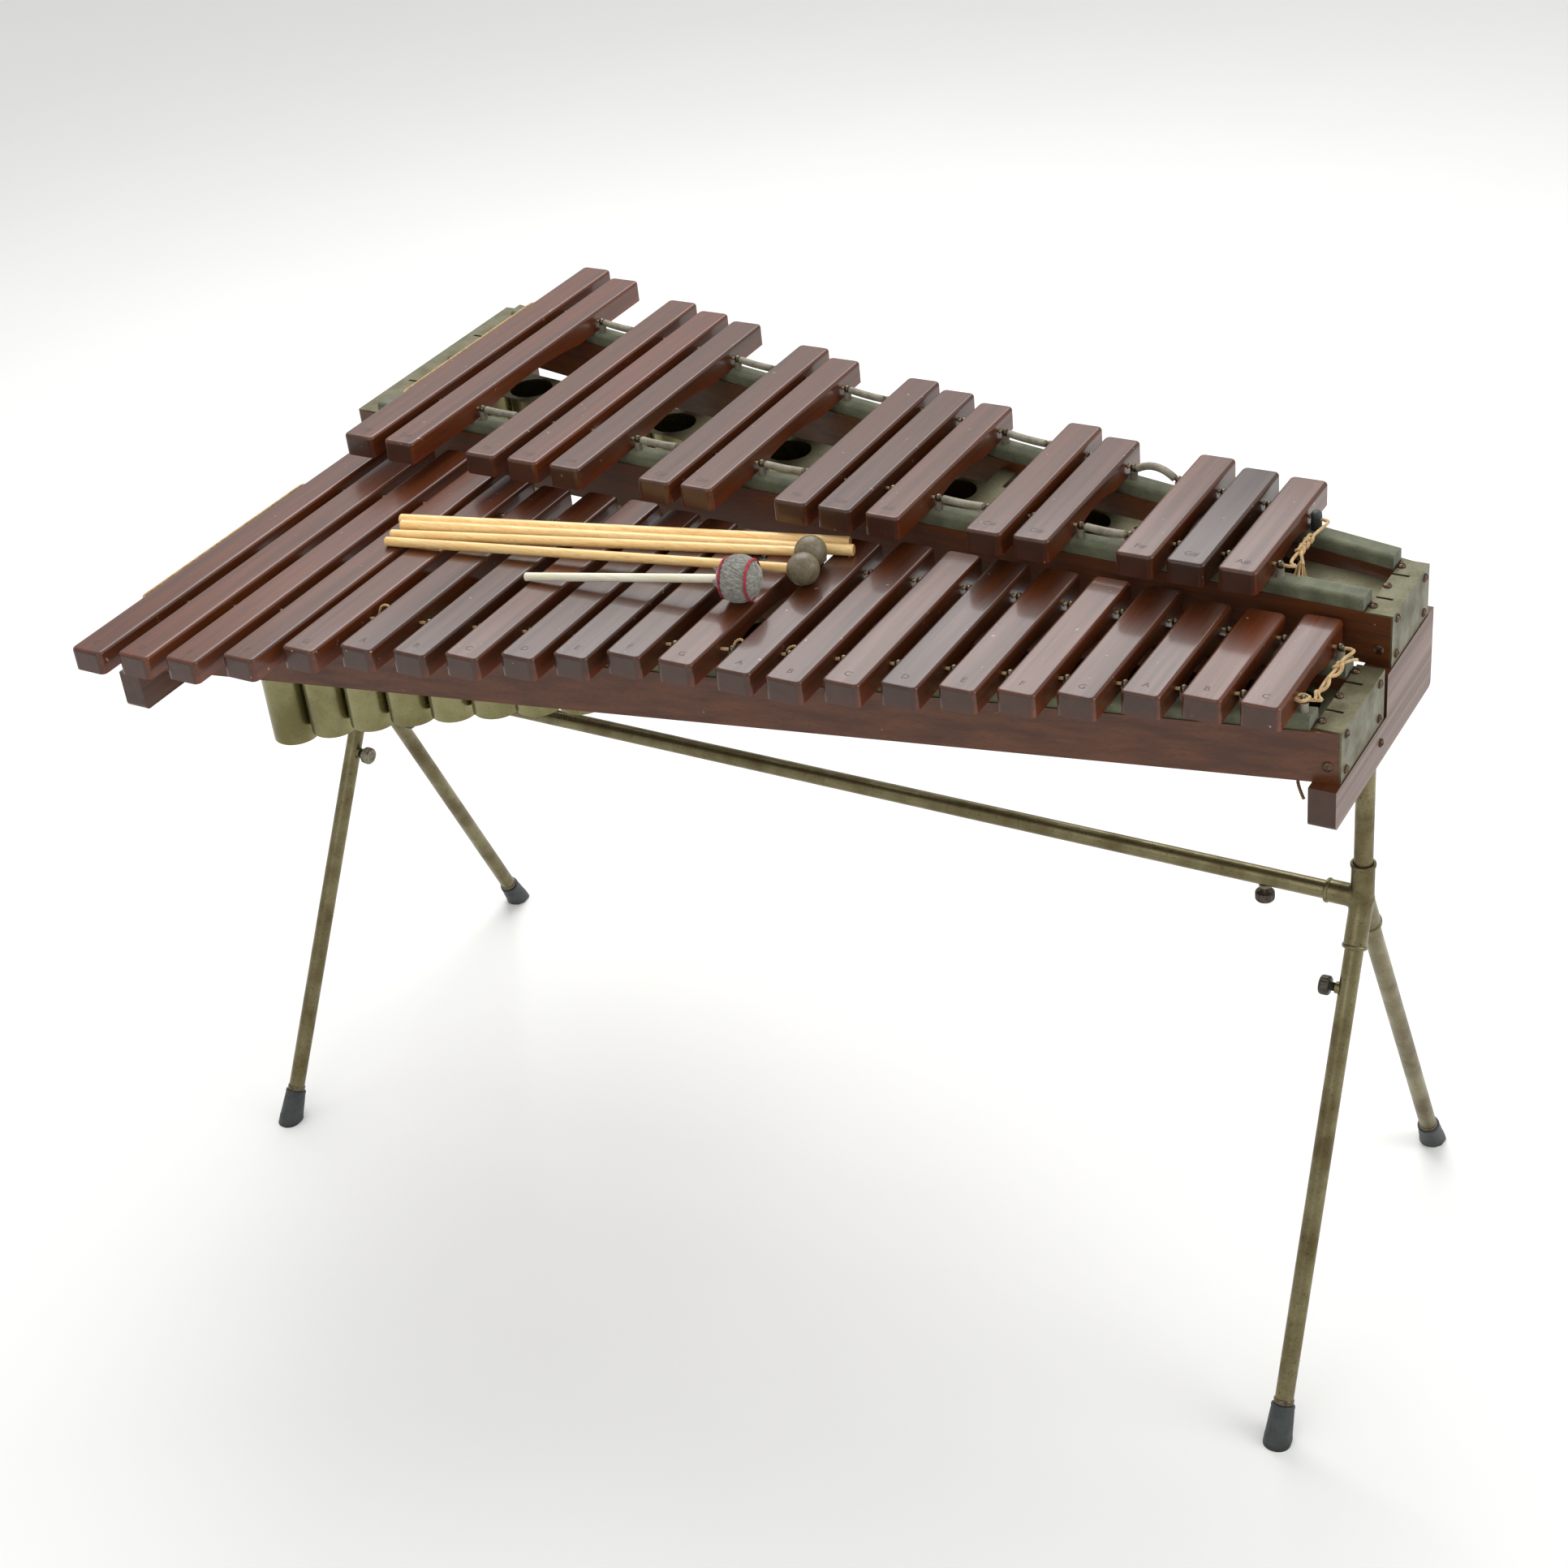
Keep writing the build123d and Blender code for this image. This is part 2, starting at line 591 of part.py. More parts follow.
# Spreader: two tubes of one size that butt together, the left one's plug sliding in the right.
spreader_bore = stand_tube / 2 - stand_tube_wall
with BuildPart() as tube:
    with BuildSketch(Plane.YZ.offset(stand_x + spreader_seam)):
        with Locations((stand_y, apex_height)):
            Circle(stand_tube / 2)
            Circle(spreader_bore, mode=Mode.SUBTRACT)
    extrude(amount=board_x - spreader_socket + spreader_insert - spreader_seam)
    with BuildSketch(Plane.XY.offset(apex_height - stand_tube / 2 - boss_height)):
        with Locations((stand_x + spreader_knob, stand_y)):
            Circle(boss_diameter / 2)
    extrude(amount=boss_height + stand_tube_wall / 2)
    with BuildSketch(Plane.XY.offset(apex_height - stand_tube)):
        with Locations((stand_x + spreader_knob, stand_y)):
            Circle(screw_diameter / 2 + running_gap)
    extrude(amount=stand_tube, mode=Mode.SUBTRACT)
save(tube, "spreader_outer_tube")

with BuildPart() as tube:
    with BuildSketch(Plane.YZ.offset(stand_x - board_x + spreader_socket - spreader_insert)):
        with Locations((stand_y, apex_height)):
            Circle(stand_tube / 2)
    extrude(amount=board_x - spreader_socket + spreader_insert + spreader_seam)
    with BuildSketch(Plane.YZ.offset(stand_x + spreader_seam)):
        with Locations((stand_y, apex_height)):
            Circle(spreader_bore - running_gap)
    extrude(amount=spreader_overlap)
    with BuildSketch(Plane.YZ.offset(stand_x - board_x)):
        with Locations((stand_y, apex_height)):
            Circle(spreader_bore - running_gap - stand_tube_wall)
    extrude(amount=2 * board_x, mode=Mode.SUBTRACT)
save(tube, "spreader_inner_tube")


# Knobs: knurled disc, neck and screw, along a plane's normal.
def make_knob(name, plane, reach):
    with BuildPart() as knob:
        with BuildSketch(plane.offset(knob_neck)):
            Circle(knob_diameter / 2)
        extrude(amount=knob_thickness)
        fillet(knob.edges(), knob_round)
        with BuildSketch(plane):
            Circle(knob_neck_diameter / 2)
        extrude(amount=knob_neck)
        with BuildSketch(plane):
            Circle(screw_diameter / 2)
        extrude(amount=-reach)
    save(knob, name)


knob_seat = stand_tube / 2 + boss_height + running_gap
screw_reach = knob_seat - spreader_bore - screw_tip_gap
make_knob("spreader_knob", Plane(origin=(stand_x + spreader_knob, stand_y, apex_height - knob_seat),
                                 z_dir=(0, 0, -1)), screw_reach)

# Legs: a fixed inner tube in each socket, a sliding outer tube, its knob and rubber foot.
inner_radius = stand_tube / 2 - stand_tube_wall - running_gap
with BuildPart() as inner_tubes:
    for side, end in leg_names.values():
        direction = leg_direction(side, end)
        seat = apex(side) + direction * (leg_socket - leg_insert)
        with BuildSketch(across(seat, direction)):
            Circle(stand_tube / 2)
        extrude(amount=leg_insert)
        with BuildSketch(across(seat, direction)):
            Circle(inner_radius)
        extrude(amount=inner_tube_length)
save(inner_tubes, "leg_inner_tubes")

for name, (side, end) in leg_names.items():
    direction = leg_direction(side, end)
    floor_point = apex(side) + direction * (apex_height / -direction.Z)
    tube_end = (floor_point - apex(side)).length - foot_sole
    with BuildPart() as leg:
        with BuildSketch(across(apex(side) + direction * (leg_socket + leg_start_gap), direction)):
            Circle(stand_tube / 2)
        extrude(amount=tube_end - leg_socket - leg_start_gap)
        knob_place = apex(side) + direction * knob_drop
        sideways = (Vector(-side, 0, 0) - direction * Vector(-side, 0, 0).dot(direction)).normalized()
        with BuildSketch(across(knob_place, sideways)):
            Circle(boss_diameter / 2)
        extrude(amount=stand_tube / 2 + boss_height)
        with BuildSketch(across(apex(side), direction)):
            Circle(stand_tube / 2 - stand_tube_wall)
        extrude(amount=tube_end + leg_start_gap, mode=Mode.SUBTRACT)
        with BuildSketch(across(knob_place, sideways)):
            Circle(screw_diameter / 2 + running_gap)
        extrude(amount=stand_tube, mode=Mode.SUBTRACT)
    save(leg, f"leg_{name}")
    make_knob(f"leg_knob_{name}", across(knob_place + sideways * knob_seat, sideways), screw_reach)

    # Rubber foot: a tapered cup, cut flat where it meets the floor.
    with BuildPart() as foot:
        with BuildSketch(across(apex(side) + direction * (tube_end - foot_cup), direction)):
            Circle(foot_top_diameter / 2)
        with BuildSketch(across(apex(side) + direction * (tube_end - foot_cup + foot_length), direction)):
            Circle(foot_bottom_diameter / 2)
        loft()
        with BuildSketch(across(apex(side) + direction * (tube_end - foot_cup), direction)):
            Circle(stand_tube / 2)
        extrude(amount=foot_cup, mode=Mode.SUBTRACT)
        split(bisect_by=Plane.XY)
    save(foot, f"rubber_foot_{name}")


# Mallets and rods, lying on the natural bars.
def lying(place, radius):
    """Point at a height of one radius over the natural bars."""
    return Vector(stand_x + place[0], stand_y + place[1], playing_height + mallet_gap + radius)


def make_stick(name, butt, end, diameter):
    direction = (end - butt).normalized()
    with BuildPart() as stick:
        with BuildSketch(across(butt, direction)):
            Circle(diameter / 2)
        extrude(amount=(end - butt).length)
        fillet(stick.edges().filter_by(GeomType.CIRCLE), stick_round)
    save(stick, name)


for name, (butt, end) in rods.items():
    make_stick(name, lying(butt, rod_diameter / 2), lying(end, rod_diameter / 2), rod_diameter)

heads = {name: (*places, rubber_stick, rubber_ball) for name, places in rubber_mallets.items()}
heads["yarn_mallet"] = (*yarn_mallet, yarn_stick, yarn_head)
for name, (butt, end, stick, ball) in heads.items():
    start = lying(butt, stick / 2)
    centre = lying(end, ball / 2)
    direction = (centre - start).normalized()
    make_stick(f"{name}_stick", start, centre + direction * (ball / 2 - head_cap), stick)
    with BuildPart() as head:
        with Locations(centre):
            Sphere(ball / 2)
        with BuildSketch(across(centre - direction * ball, direction)):
            Circle(stick / 2)
        extrude(amount=ball * 1.5 - head_cap, mode=Mode.SUBTRACT)
    save(head, f"{name}_head")
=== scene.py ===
import json
import math
import random

import bmesh
import bpy
import numpy as np
from mathutils import Matrix, Vector


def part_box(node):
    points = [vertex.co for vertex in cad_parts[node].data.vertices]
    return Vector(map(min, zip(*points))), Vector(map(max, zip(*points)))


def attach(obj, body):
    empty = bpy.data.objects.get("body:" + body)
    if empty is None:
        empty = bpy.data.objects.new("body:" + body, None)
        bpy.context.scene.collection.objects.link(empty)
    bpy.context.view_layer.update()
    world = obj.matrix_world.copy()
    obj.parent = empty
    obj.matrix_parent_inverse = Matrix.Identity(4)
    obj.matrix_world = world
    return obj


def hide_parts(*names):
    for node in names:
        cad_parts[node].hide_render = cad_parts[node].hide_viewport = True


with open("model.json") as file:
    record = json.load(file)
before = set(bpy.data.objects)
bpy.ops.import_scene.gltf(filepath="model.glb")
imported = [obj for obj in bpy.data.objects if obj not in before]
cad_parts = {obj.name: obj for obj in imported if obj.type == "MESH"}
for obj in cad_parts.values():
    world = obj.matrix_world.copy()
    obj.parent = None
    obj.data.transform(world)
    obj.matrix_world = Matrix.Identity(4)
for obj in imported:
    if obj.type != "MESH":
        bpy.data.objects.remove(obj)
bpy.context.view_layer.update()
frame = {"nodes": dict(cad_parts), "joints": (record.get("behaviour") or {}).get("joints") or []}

# Looks for a three-octave rosewood xylophone on a nickel tube stand. Metres.
mm = 0.001
nodes = frame["nodes"]
layout = {  # millimetres
    "firstBar": -489.23, "pitch": 48.0,  # middle of the low C, spacing of the naturals
    "lead": 5.5,  # upper row past half-way between naturals
    "natural": 709.0, "accidental": 750.0,  # cord heights
    "halfBar": 11.0, "halfRail": 12.0, "apex": 456.0}
print("frame loaded")


def hexColour(code):
    parts = [int(code[i:i + 2], 16) / 255 for i in (1, 3, 5)]
    return [p / 12.92 if p <= 0.04045 else ((p + 0.055) / 1.055) ** 2.4 for p in parts] + [1.0]


def addNode(tree, kind, wires=None, **settings):
    node = tree.nodes.new(kind)
    for name, value in settings.items():
        setattr(node, name, value)
    for socket, value in (wires or {}).items():
        if isinstance(value, bpy.types.NodeSocket):
            tree.links.new(value, node.inputs[socket])
        else:
            node.inputs[socket].default_value = value
    return node


def newMaterial(name, **shader):
    material = bpy.data.materials.new(name)
    material.use_nodes = True
    tree = material.node_tree
    bsdf = tree.nodes["Principled BSDF"]
    for socket, value in shader.items():
        bsdf.inputs[socket.replace("_", " ")].default_value = value
    place = addNode(tree, "ShaderNodeTexCoord").outputs["Object"]
    return material, tree, bsdf, place


def meshFrom(bm, name):
    bmesh.ops.recalc_face_normals(bm, faces=bm.faces)
    mesh = bpy.data.meshes.new(name)
    bm.to_mesh(mesh)
    bm.free()
    return mesh


def addPiece(name, bm, body, material, smooth=True):
    mesh = meshFrom(bm, name)
    piece = bpy.data.objects.new(name, mesh)
    bpy.context.scene.collection.objects.link(piece)
    mesh.materials.append(material)
    if smooth:
        mesh.polygons.foreach_set("use_smooth", [True] * len(mesh.polygons))
    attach(piece, body)
    return piece


def bakeModifiers(blank):  # a working object's finished mesh; the object goes
    bpy.context.view_layer.update()
    mesh = bpy.data.meshes.new_from_object(blank.evaluated_get(bpy.context.evaluated_depsgraph_get()))
    bpy.data.objects.remove(blank)
    return mesh


def workObject(name, data):
    blank = bpy.data.objects.new(name, data)
    bpy.context.scene.collection.objects.link(blank)
    return blank


def dress(material, *names):
    for name in names:
        for slot in nodes[name].material_slots:
            slot.material = material


def islands(name):  # the separate solids of a CAD node, as point arrays, left to right
    bm = bmesh.new()
    bm.from_mesh(nodes[name].data)
    bmesh.ops.remove_doubles(bm, verts=bm.verts, dist=0.002 * mm)
    groups, seen = [], set()
    for start in bm.verts:
        if start in seen:
            continue
        seen.add(start)
        stack, group = [start], []
        while stack:
            vert = stack.pop()
            group.append(vert.co[:])
            for edge in vert.link_edges:
                other = edge.other_vert(vert)
                if other not in seen:
                    seen.add(other)
                    stack.append(other)
        groups.append(np.array(group))
    bm.free()
    return sorted(groups, key=lambda points: points[:, 0].mean())


def resample(points, step):
    points = [Vector(p) for p in points]
    out, carry = [points[0].copy()], 0.0
    for one, two in zip(points, points[1:]):
        run = (two - one).length
        at = step - carry
        while at <= run:
            out.append(one.lerp(two, at / run))
            at += step
        carry = run - (at - step)
    if (out[-1] - points[-1]).length > step * 0.3:
        out.append(points[-1].copy())
    return out


def rounded(points, radius, count=6):  # a polyline with its corners eased
    points = [Vector(p) for p in points]
    out = [points[0]]
    for before, corner, after in zip(points, points[1:], points[2:]):
        near = min(radius, (before - corner).length * 0.45)
        far = min(radius, (after - corner).length * 0.45)
        a = corner + (before - corner).normalized() * near
        b = corner + (after - corner).normalized() * far
        for i in range(count + 1):
            t = i / count
            out.append(a.lerp(corner, t).lerp(corner.lerp(b, t), t))
    return out + [points[-1]]


def smoothPath(points, count=10):  # Catmull-Rom curve through the points
    points = [Vector(p) for p in points]
    ends = [2 * points[0] - points[1]] + points + [2 * points[-1] - points[-2]]
    out = []
    for p0, p1, p2, p3 in zip(ends, ends[1:], ends[2:], ends[3:]):
        for i in range(count):
            t = i / count
            out.append(0.5 * (2 * p1 + (p2 - p0) * t + (2 * p0 - 5 * p1 + 4 * p2 - p3) * t * t
                              + (3 * p1 - p0 - 3 * p2 + p3) * t ** 3))
    return out + [points[-1]]


def sweep(bm, points, radius, sides=8, lobes=0, lobeDepth=0.0, lay=1.0):
    # a tube along the points; lobes that turn once per lay make it a twisted rope
    tangents = [(b - a).normalized() for a, b in zip(points, points[1:])]
    tangents.append(tangents[-1])
    side = tangents[0].orthogonal().normalized()
    rings, travel = [], 0.0
    for index, point in enumerate(points):
        tangent = tangents[index] if index == 0 else (tangents[index - 1] + tangents[index]).normalized()
        side = (side - tangent * side.dot(tangent)).normalized()
        up = tangent.cross(side)
        if index:
            travel += (point - points[index - 1]).length
        size = radius[index] if isinstance(radius, list) else radius
        ring = []
        for k in range(sides):
            angle = 2 * math.pi * k / sides
            reach = size
            if lobes:
                reach *= 1 + lobeDepth * (math.cos(lobes * (angle - 2 * math.pi * travel / lay)) - 1)
            spot = point + side * (reach * math.cos(angle)) + up * (reach * math.sin(angle))
            ring.append(bm.verts.new(spot))
        rings.append(ring)
    for one, two in zip(rings, rings[1:]):
        for k in range(sides):
            bm.faces.new((one[k], one[(k + 1) % sides], two[(k + 1) % sides], two[k]))
    bm.faces.new(rings[0][::-1])
    bm.faces.new(rings[-1])


def lathe(bm, profile, place, sides=32, wave=None):
    # (radius, height) pairs turned round the local Z of a placing matrix
    rings = []
    for radius, height in profile:
        if radius < 1e-7:
            rings.append([bm.verts.new(place @ Vector((0, 0, height)))])
            continue
        ring = []
        for k in range(sides):
            angle = 2 * math.pi * k / sides
            reach = radius * (wave(angle, radius) if wave else 1)
            spot = Vector((reach * math.cos(angle), reach * math.sin(angle), height))
            ring.append(bm.verts.new(place @ spot))
        rings.append(ring)
    for one, two in zip(rings, rings[1:]):
        for k in range(sides):
            a, b = one[k % len(one)], one[(k + 1) % len(one)]
            c, d = two[(k + 1) % len(two)], two[k % len(two)]
            corners = [v for i, v in enumerate((a, b, c, d)) if v not in (a, b, c, d)[:i]]
            bm.faces.new(corners)
    for ring, flip in ((rings[0], True), (rings[-1], False)):
        if len(ring) > 1:
            bm.faces.new(ring[::-1] if flip else ring)


def placed(origin, axis, spin=0.0):  # matrix with local Z along an axis
    turn = Vector(axis).to_track_quat("Z", "Y").to_matrix().to_4x4()
    return Matrix.Translation(origin) @ turn @ Matrix.Rotation(spin, 4, "Z")


def woodMaterial(name, look):
    # Grain runs along one axis as long dark lines over a mottled ground; the coat gives
    # the sharp window-like gloss over the softer wood beneath.
    material, tree, bsdf, place = newMaterial(name, Roughness=look["roughness"], IOR=1.42,
                                              Coat_Weight=look["coat"], Coat_Roughness=look["coatRoughness"])
    long, fine = 1 / (look["grainLength"] * mm), 1 / (look["grainWidth"] * mm)
    stretch = [fine, fine, fine]
    stretch[look["axis"]] = long
    lineMap = addNode(tree, "ShaderNodeMapping", {"Vector": place, "Scale": stretch})
    lines = addNode(tree, "ShaderNodeTexNoise", {"Vector": lineMap.outputs[0], "Scale": 1.0, "Detail": 5.0,
                                                 "Roughness": 0.65, "Distortion": 0.4})
    coarse = [s / look["mottle"] for s in stretch]
    mottleMap = addNode(tree, "ShaderNodeMapping", {"Vector": place, "Scale": coarse})
    mottle = addNode(tree, "ShaderNodeTexNoise", {"Vector": mottleMap.outputs[0], "Scale": 1.0, "Detail": 3.0})
    lineShare = addNode(tree, "ShaderNodeMapRange", {0: lines.outputs[0], 1: 0.48, 2: 0.85})
    mottleShare = addNode(tree, "ShaderNodeMapRange", {0: mottle.outputs[0], 1: 0.35, 2: 0.68})
    ground = addNode(tree, "ShaderNodeMix", {0: mottleShare.outputs[0], 6: hexColour(look["pale"]),
                                             7: hexColour(look["deep"])}, data_type="RGBA")
    streaked = addNode(tree, "ShaderNodeMix", {0: lineShare.outputs[0], 6: ground.outputs[2],
                                               7: hexColour(look["streak"])}, data_type="RGBA")
    colour = streaked.outputs[2]
    split = addNode(tree, "ShaderNodeSeparateXYZ", {0: place})
    if "tones" in look:  # one brightness for each bar, from its place along the keyboard
        tones = look["tones"]
        along = addNode(tree, "ShaderNodeMapRange", {0: split.outputs[0], 1: look["firstX"] * mm,
                                                     2: (look["firstX"] + layout["pitch"] * len(tones)) * mm})
        ramp = addNode(tree, "ShaderNodeValToRGB", {0: along.outputs[0]})
        ramp.color_ramp.interpolation = "CONSTANT"
        stops = ramp.color_ramp.elements
        for index, (light, warm) in enumerate(tones):
            stop = stops[0] if index == 0 else stops.new(index / len(tones))
            stop.color = (0.5 * light * (1 + 0.12 * warm), 0.5 * light, 0.5 * light * (1 - 0.1 * warm), 1)
        stops.remove(stops[-1])
        colour = addNode(tree, "ShaderNodeMix", {0: 1.0, 6: colour, 7: ramp.outputs[0]}, data_type="RGBA",
                         blend_type="MULTIPLY").outputs[2]
        colour = addNode(tree, "ShaderNodeMix", {0: 1.0, 6: colour, 7: (2, 2, 2, 1)}, data_type="RGBA",
                         blend_type="MULTIPLY").outputs[2]
    if "glowTop" in look:  # painted reddish glow: the lower half of each side is mixed towards a brighter red, strongest at the bottom
        low = addNode(tree, "ShaderNodeMapRange", {
            0: split.outputs[2], 1: (look["glowTop"] - layout["halfBar"]) * mm, 2: look["glowTop"] * mm,
            3: look["glowShare"], 4: 0.0})
        colour = addNode(tree, "ShaderNodeMix", {0: low.outputs[0], 6: colour, 7: hexColour(look["glow"])},
                         data_type="RGBA").outputs[2]
    geometry = addNode(tree, "ShaderNodeNewGeometry")
    normal = addNode(tree, "ShaderNodeSeparateXYZ", {0: geometry.outputs["Normal"]})
    facing = addNode(tree, "ShaderNodeMath", {0: normal.outputs[look["axis"]]}, operation="ABSOLUTE")
    endShare = addNode(tree, "ShaderNodeMapRange", {0: facing.outputs[0], 1: 0.7, 2: 0.95, 3: 0.0, 4: 0.75})
    colour = addNode(tree, "ShaderNodeMix", {0: endShare.outputs[0], 6: colour, 7: hexColour(look["endGrain"])},
                     data_type="RGBA").outputs[2]  # end grain drinks the finish and goes dark
    # Pale flecks from noise, mixed into the colour: partly worn spots, partly painted highlights of the gloss
    wearAndHighlightNoise = addNode(tree, "ShaderNodeTexNoise", {"Vector": place, "Scale": 1 / (7 * mm), "Detail": 2.0})
    wearAndHighlightShare = addNode(tree, "ShaderNodeMapRange", {0: wearAndHighlightNoise.outputs[0], 1: look["nickStart"],
                                                     2: look["nickStart"] + 0.03, 3: 0.0, 4: 0.6})
    worn = addNode(tree, "ShaderNodeMix", {0: wearAndHighlightShare.outputs[0], 6: colour, 7: hexColour(look["nick"])},
                   data_type="RGBA")
    tree.links.new(worn.outputs[2], bsdf.inputs["Base Color"])
    smear = addNode(tree, "ShaderNodeMapRange", {0: mottle.outputs[0], 1: 0.3, 2: 0.7,
                                                 3: look["roughness"] - 0.07, 4: look["roughness"] + 0.1})
    tree.links.new(smear.outputs[0], bsdf.inputs["Roughness"])
    bump = addNode(tree, "ShaderNodeBump", {"Height": lines.outputs[0], "Strength": look["relief"],
                                            "Distance": 0.15 * mm})
    tree.links.new(bump.outputs[0], bsdf.inputs["Normal"])
    return material


barLook = {  # oiled and polished rosewood: dark red-brown, glassy from handling
    "axis": 1, "grainLength": 70, "grainWidth": 2.2, "mottle": 5,
    # the pale fleck colour stands partly for wear, partly for a painted highlight
    "pale": "#5b2e14", "deep": "#43200d", "streak": "#301607", "nick": "#b79a86", "nickStart": 0.735,
    # glow and glowShare: a painted reddish glow of light on the lower sides of the bars
    "roughness": 0.34, "coat": 0.35, "coatRoughness": 0.12, "relief": 0.06, "glow": "#7a3010", "glowShare": 0.4,
    "endGrain": "#37231a"}
naturalLook = dict(barLook, firstX=layout["firstBar"] - layout["pitch"] / 2, glowTop=layout["natural"], tones=[
    (1.05, 0.6), (1.2, 0.6), (1.1, 0.9), (1.05, 0.5), (0.85, 1.2), (0.8, 0.2), (0.72, -0.2), (0.9, 0.7),
    (0.7, 0.3), (0.66, -0.4), (0.72, -0.2), (0.95, 0.4), (0.68, 0.2), (0.85, 0.2), (1.0, 0.4), (0.7, -0.3),
    (0.85, 0.5), (1.05, 0.8), (0.9, 0.5), (0.8, 0.1), (1.1, 0.9), (0.95, 0.9)])
accidentalLook = dict(barLook, firstX=layout["firstBar"] + layout["lead"], glowTop=layout["accidental"], tones=[
    (1.05, 0.6), (1.1, 0.9), (1.0, 0), (0.95, 0.3), (1.1, 1.0), (0.85, 0.2), (1.0, 0), (0.9, 0.2),
    (0.95, 0.5), (1.0, 0), (0.8, 0.5), (0.75, 0.1), (1.0, 0.7), (1.0, 0), (0.95, 0.3), (0.8, 0.7),
    (1.0, 0), (0.95, 0.7), (0.52, -1.0), (0.9, 0.5)])
railLook = {  # stained and varnished beech: fine straight lines, evenly red-brown
    "axis": 0, "grainLength": 55, "grainWidth": 1.3, "mottle": 7,
    # the pale fleck colour stands partly for wear, partly for a painted highlight
    "pale": "#5e3215", "deep": "#46230c", "streak": "#311706", "nick": "#a58570", "nickStart": 0.76,
    "roughness": 0.38, "coat": 0.2, "coatRoughness": 0.2, "relief": 0.12, "endGrain": "#38231a"}
stickLook = {  # turned and clear-varnished beech: pale straw with warm lines
    "axis": 0, "grainLength": 90, "grainWidth": 1.6, "mottle": 4,
    # the pale fleck colour stands partly for wear, partly for a painted highlight
    "pale": "#f7d696", "deep": "#efc27c", "streak": "#d39a55", "nick": "#f6dcae", "nickStart": 0.75,
    "roughness": 0.38, "coat": 0.35, "coatRoughness": 0.2, "relief": 0.25, "endGrain": "#d9a869"}
naturalBars = [name for name in nodes if name.startswith("natural_bars")]
accidentalBars = [name for name in nodes if name.startswith("accidental_bars")]
dress(woodMaterial("polished rosewood natural bars", naturalLook), *naturalBars)
dress(woodMaterial("polished rosewood upper bars", accidentalLook), *accidentalBars)
railWood = woodMaterial("varnished beech rails", railLook)
boardWood = woodMaterial("varnished beech end boards", dict(railLook, axis=1))
dress(railWood, *[name for name in nodes if name.endswith("_rail")])
dress(boardWood, "end_board_left", "end_board_right")
stickWood = woodMaterial("clear varnished beech sticks", stickLook)
dress(stickWood, "plain_rod_rear", "plain_rod_front", "rubber_mallet_rear_stick", "rubber_mallet_front_stick")
paintedLook = dict(stickLook, pale="#efebd6", deep="#e2dcc0", streak="#cfc6a4", nick="#f7f4e6", relief=0.1,
                   endGrain="#e0cfa0")  # thin white paint that lets the grain through
dress(woodMaterial("white painted stick", paintedLook), "yarn_mallet_stick")
print("wood dressed")


def metalMaterial(name, look):
    # Old nickel plate: a grey-green sheen with brown tarnish in clouds and fine dark spots.
    material, tree, bsdf, place = newMaterial(name, Metallic=look["metallic"], Roughness=look["roughness"])
    clouds = addNode(tree, "ShaderNodeTexNoise", {"Vector": place, "Scale": 1 / (look["cloud"] * mm),
                                                  "Detail": 4.0, "Roughness": 0.6})
    spots = addNode(tree, "ShaderNodeTexNoise", {"Vector": place, "Scale": 1 / (look["spot"] * mm),
                                                 "Detail": 3.0})
    cloudShare = addNode(tree, "ShaderNodeMapRange", {0: clouds.outputs[0], 1: 0.38, 2: 0.66})
    spotShare = addNode(tree, "ShaderNodeMapRange", {0: spots.outputs[0], 1: look["spotStart"],
                                                     2: look["spotStart"] + 0.12, 3: 0.0, 4: look["spotShare"]})
    base = addNode(tree, "ShaderNodeMix", {0: cloudShare.outputs[0], 6: hexColour(look["plate"]),
                                           7: hexColour(look["tarnish"])}, data_type="RGBA")
    spotted = addNode(tree, "ShaderNodeMix", {0: spotShare.outputs[0], 6: base.outputs[2],
                                              7: hexColour(look["rust"])}, data_type="RGBA")
    tree.links.new(spotted.outputs[2], bsdf.inputs["Base Color"])
    rough = addNode(tree, "ShaderNodeMapRange", {0: clouds.outputs[0], 1: 0.3, 2: 0.7,
                                                 3: look["roughness"] - 0.06, 4: look["roughness"] + 0.12})
    tree.links.new(rough.outputs[0], bsdf.inputs["Roughness"])
    bump = addNode(tree, "ShaderNodeBump", {"Height": spots.outputs[0], "Strength": look["relief"],
                                            "Distance": 0.1 * mm})
    tree.links.new(bump.outputs[0], bsdf.inputs["Normal"])
    return material


tubeLook = {"metallic": 0.85, "roughness": 0.32, "cloud": 40, "spot": 2.2, "spotStart": 0.58, "spotShare": 0.55,
            "plate": "#7c7455", "tarnish": "#5d5236", "rust": "#3a2a17", "relief": 0.12}
agedNickel = metalMaterial("aged nickel plate", tubeLook)
resonatorNickel = metalMaterial("dull nickelled brass tube", dict(
    tubeLook, plate="#89845f", tarnish="#6d6745", rust="#474027", cloud=60, spotShare=0.35,
    roughness=0.26, metallic=0.95))
sheetNickel = metalMaterial("speckled nickel sheet", dict(
    tubeLook, plate="#6c6952", tarnish="#565239", rust="#35301f", cloud=25, spot=1.6, spotShare=0.6,
    roughness=0.42, relief=0.3, metallic=0.7))
smallLook = dict(tubeLook, cloud=6, spot=0.9)  # finer clouds on small turned parts
postNickel = metalMaterial("worn nickel pin", dict(
    smallLook, plate="#6d6553", tarnish="#4c4333", spot=1.0, roughness=0.25))
screwSteel = metalMaterial("browned steel screw", dict(
    smallLook, plate="#6a5646", tarnish="#48352b", rust="#2e2019", cloud=5, roughness=0.35, relief=0.3))
paleKnob = metalMaterial("nickelled knurled metal", dict(smallLook, plate="#8d8875", tarnish="#6a624e"))
knobMetal = metalMaterial("blackened knurled metal", dict(
    smallLook, plate="#57534a", tarnish="#3f3a31", rust="#2a2620", roughness=0.38))
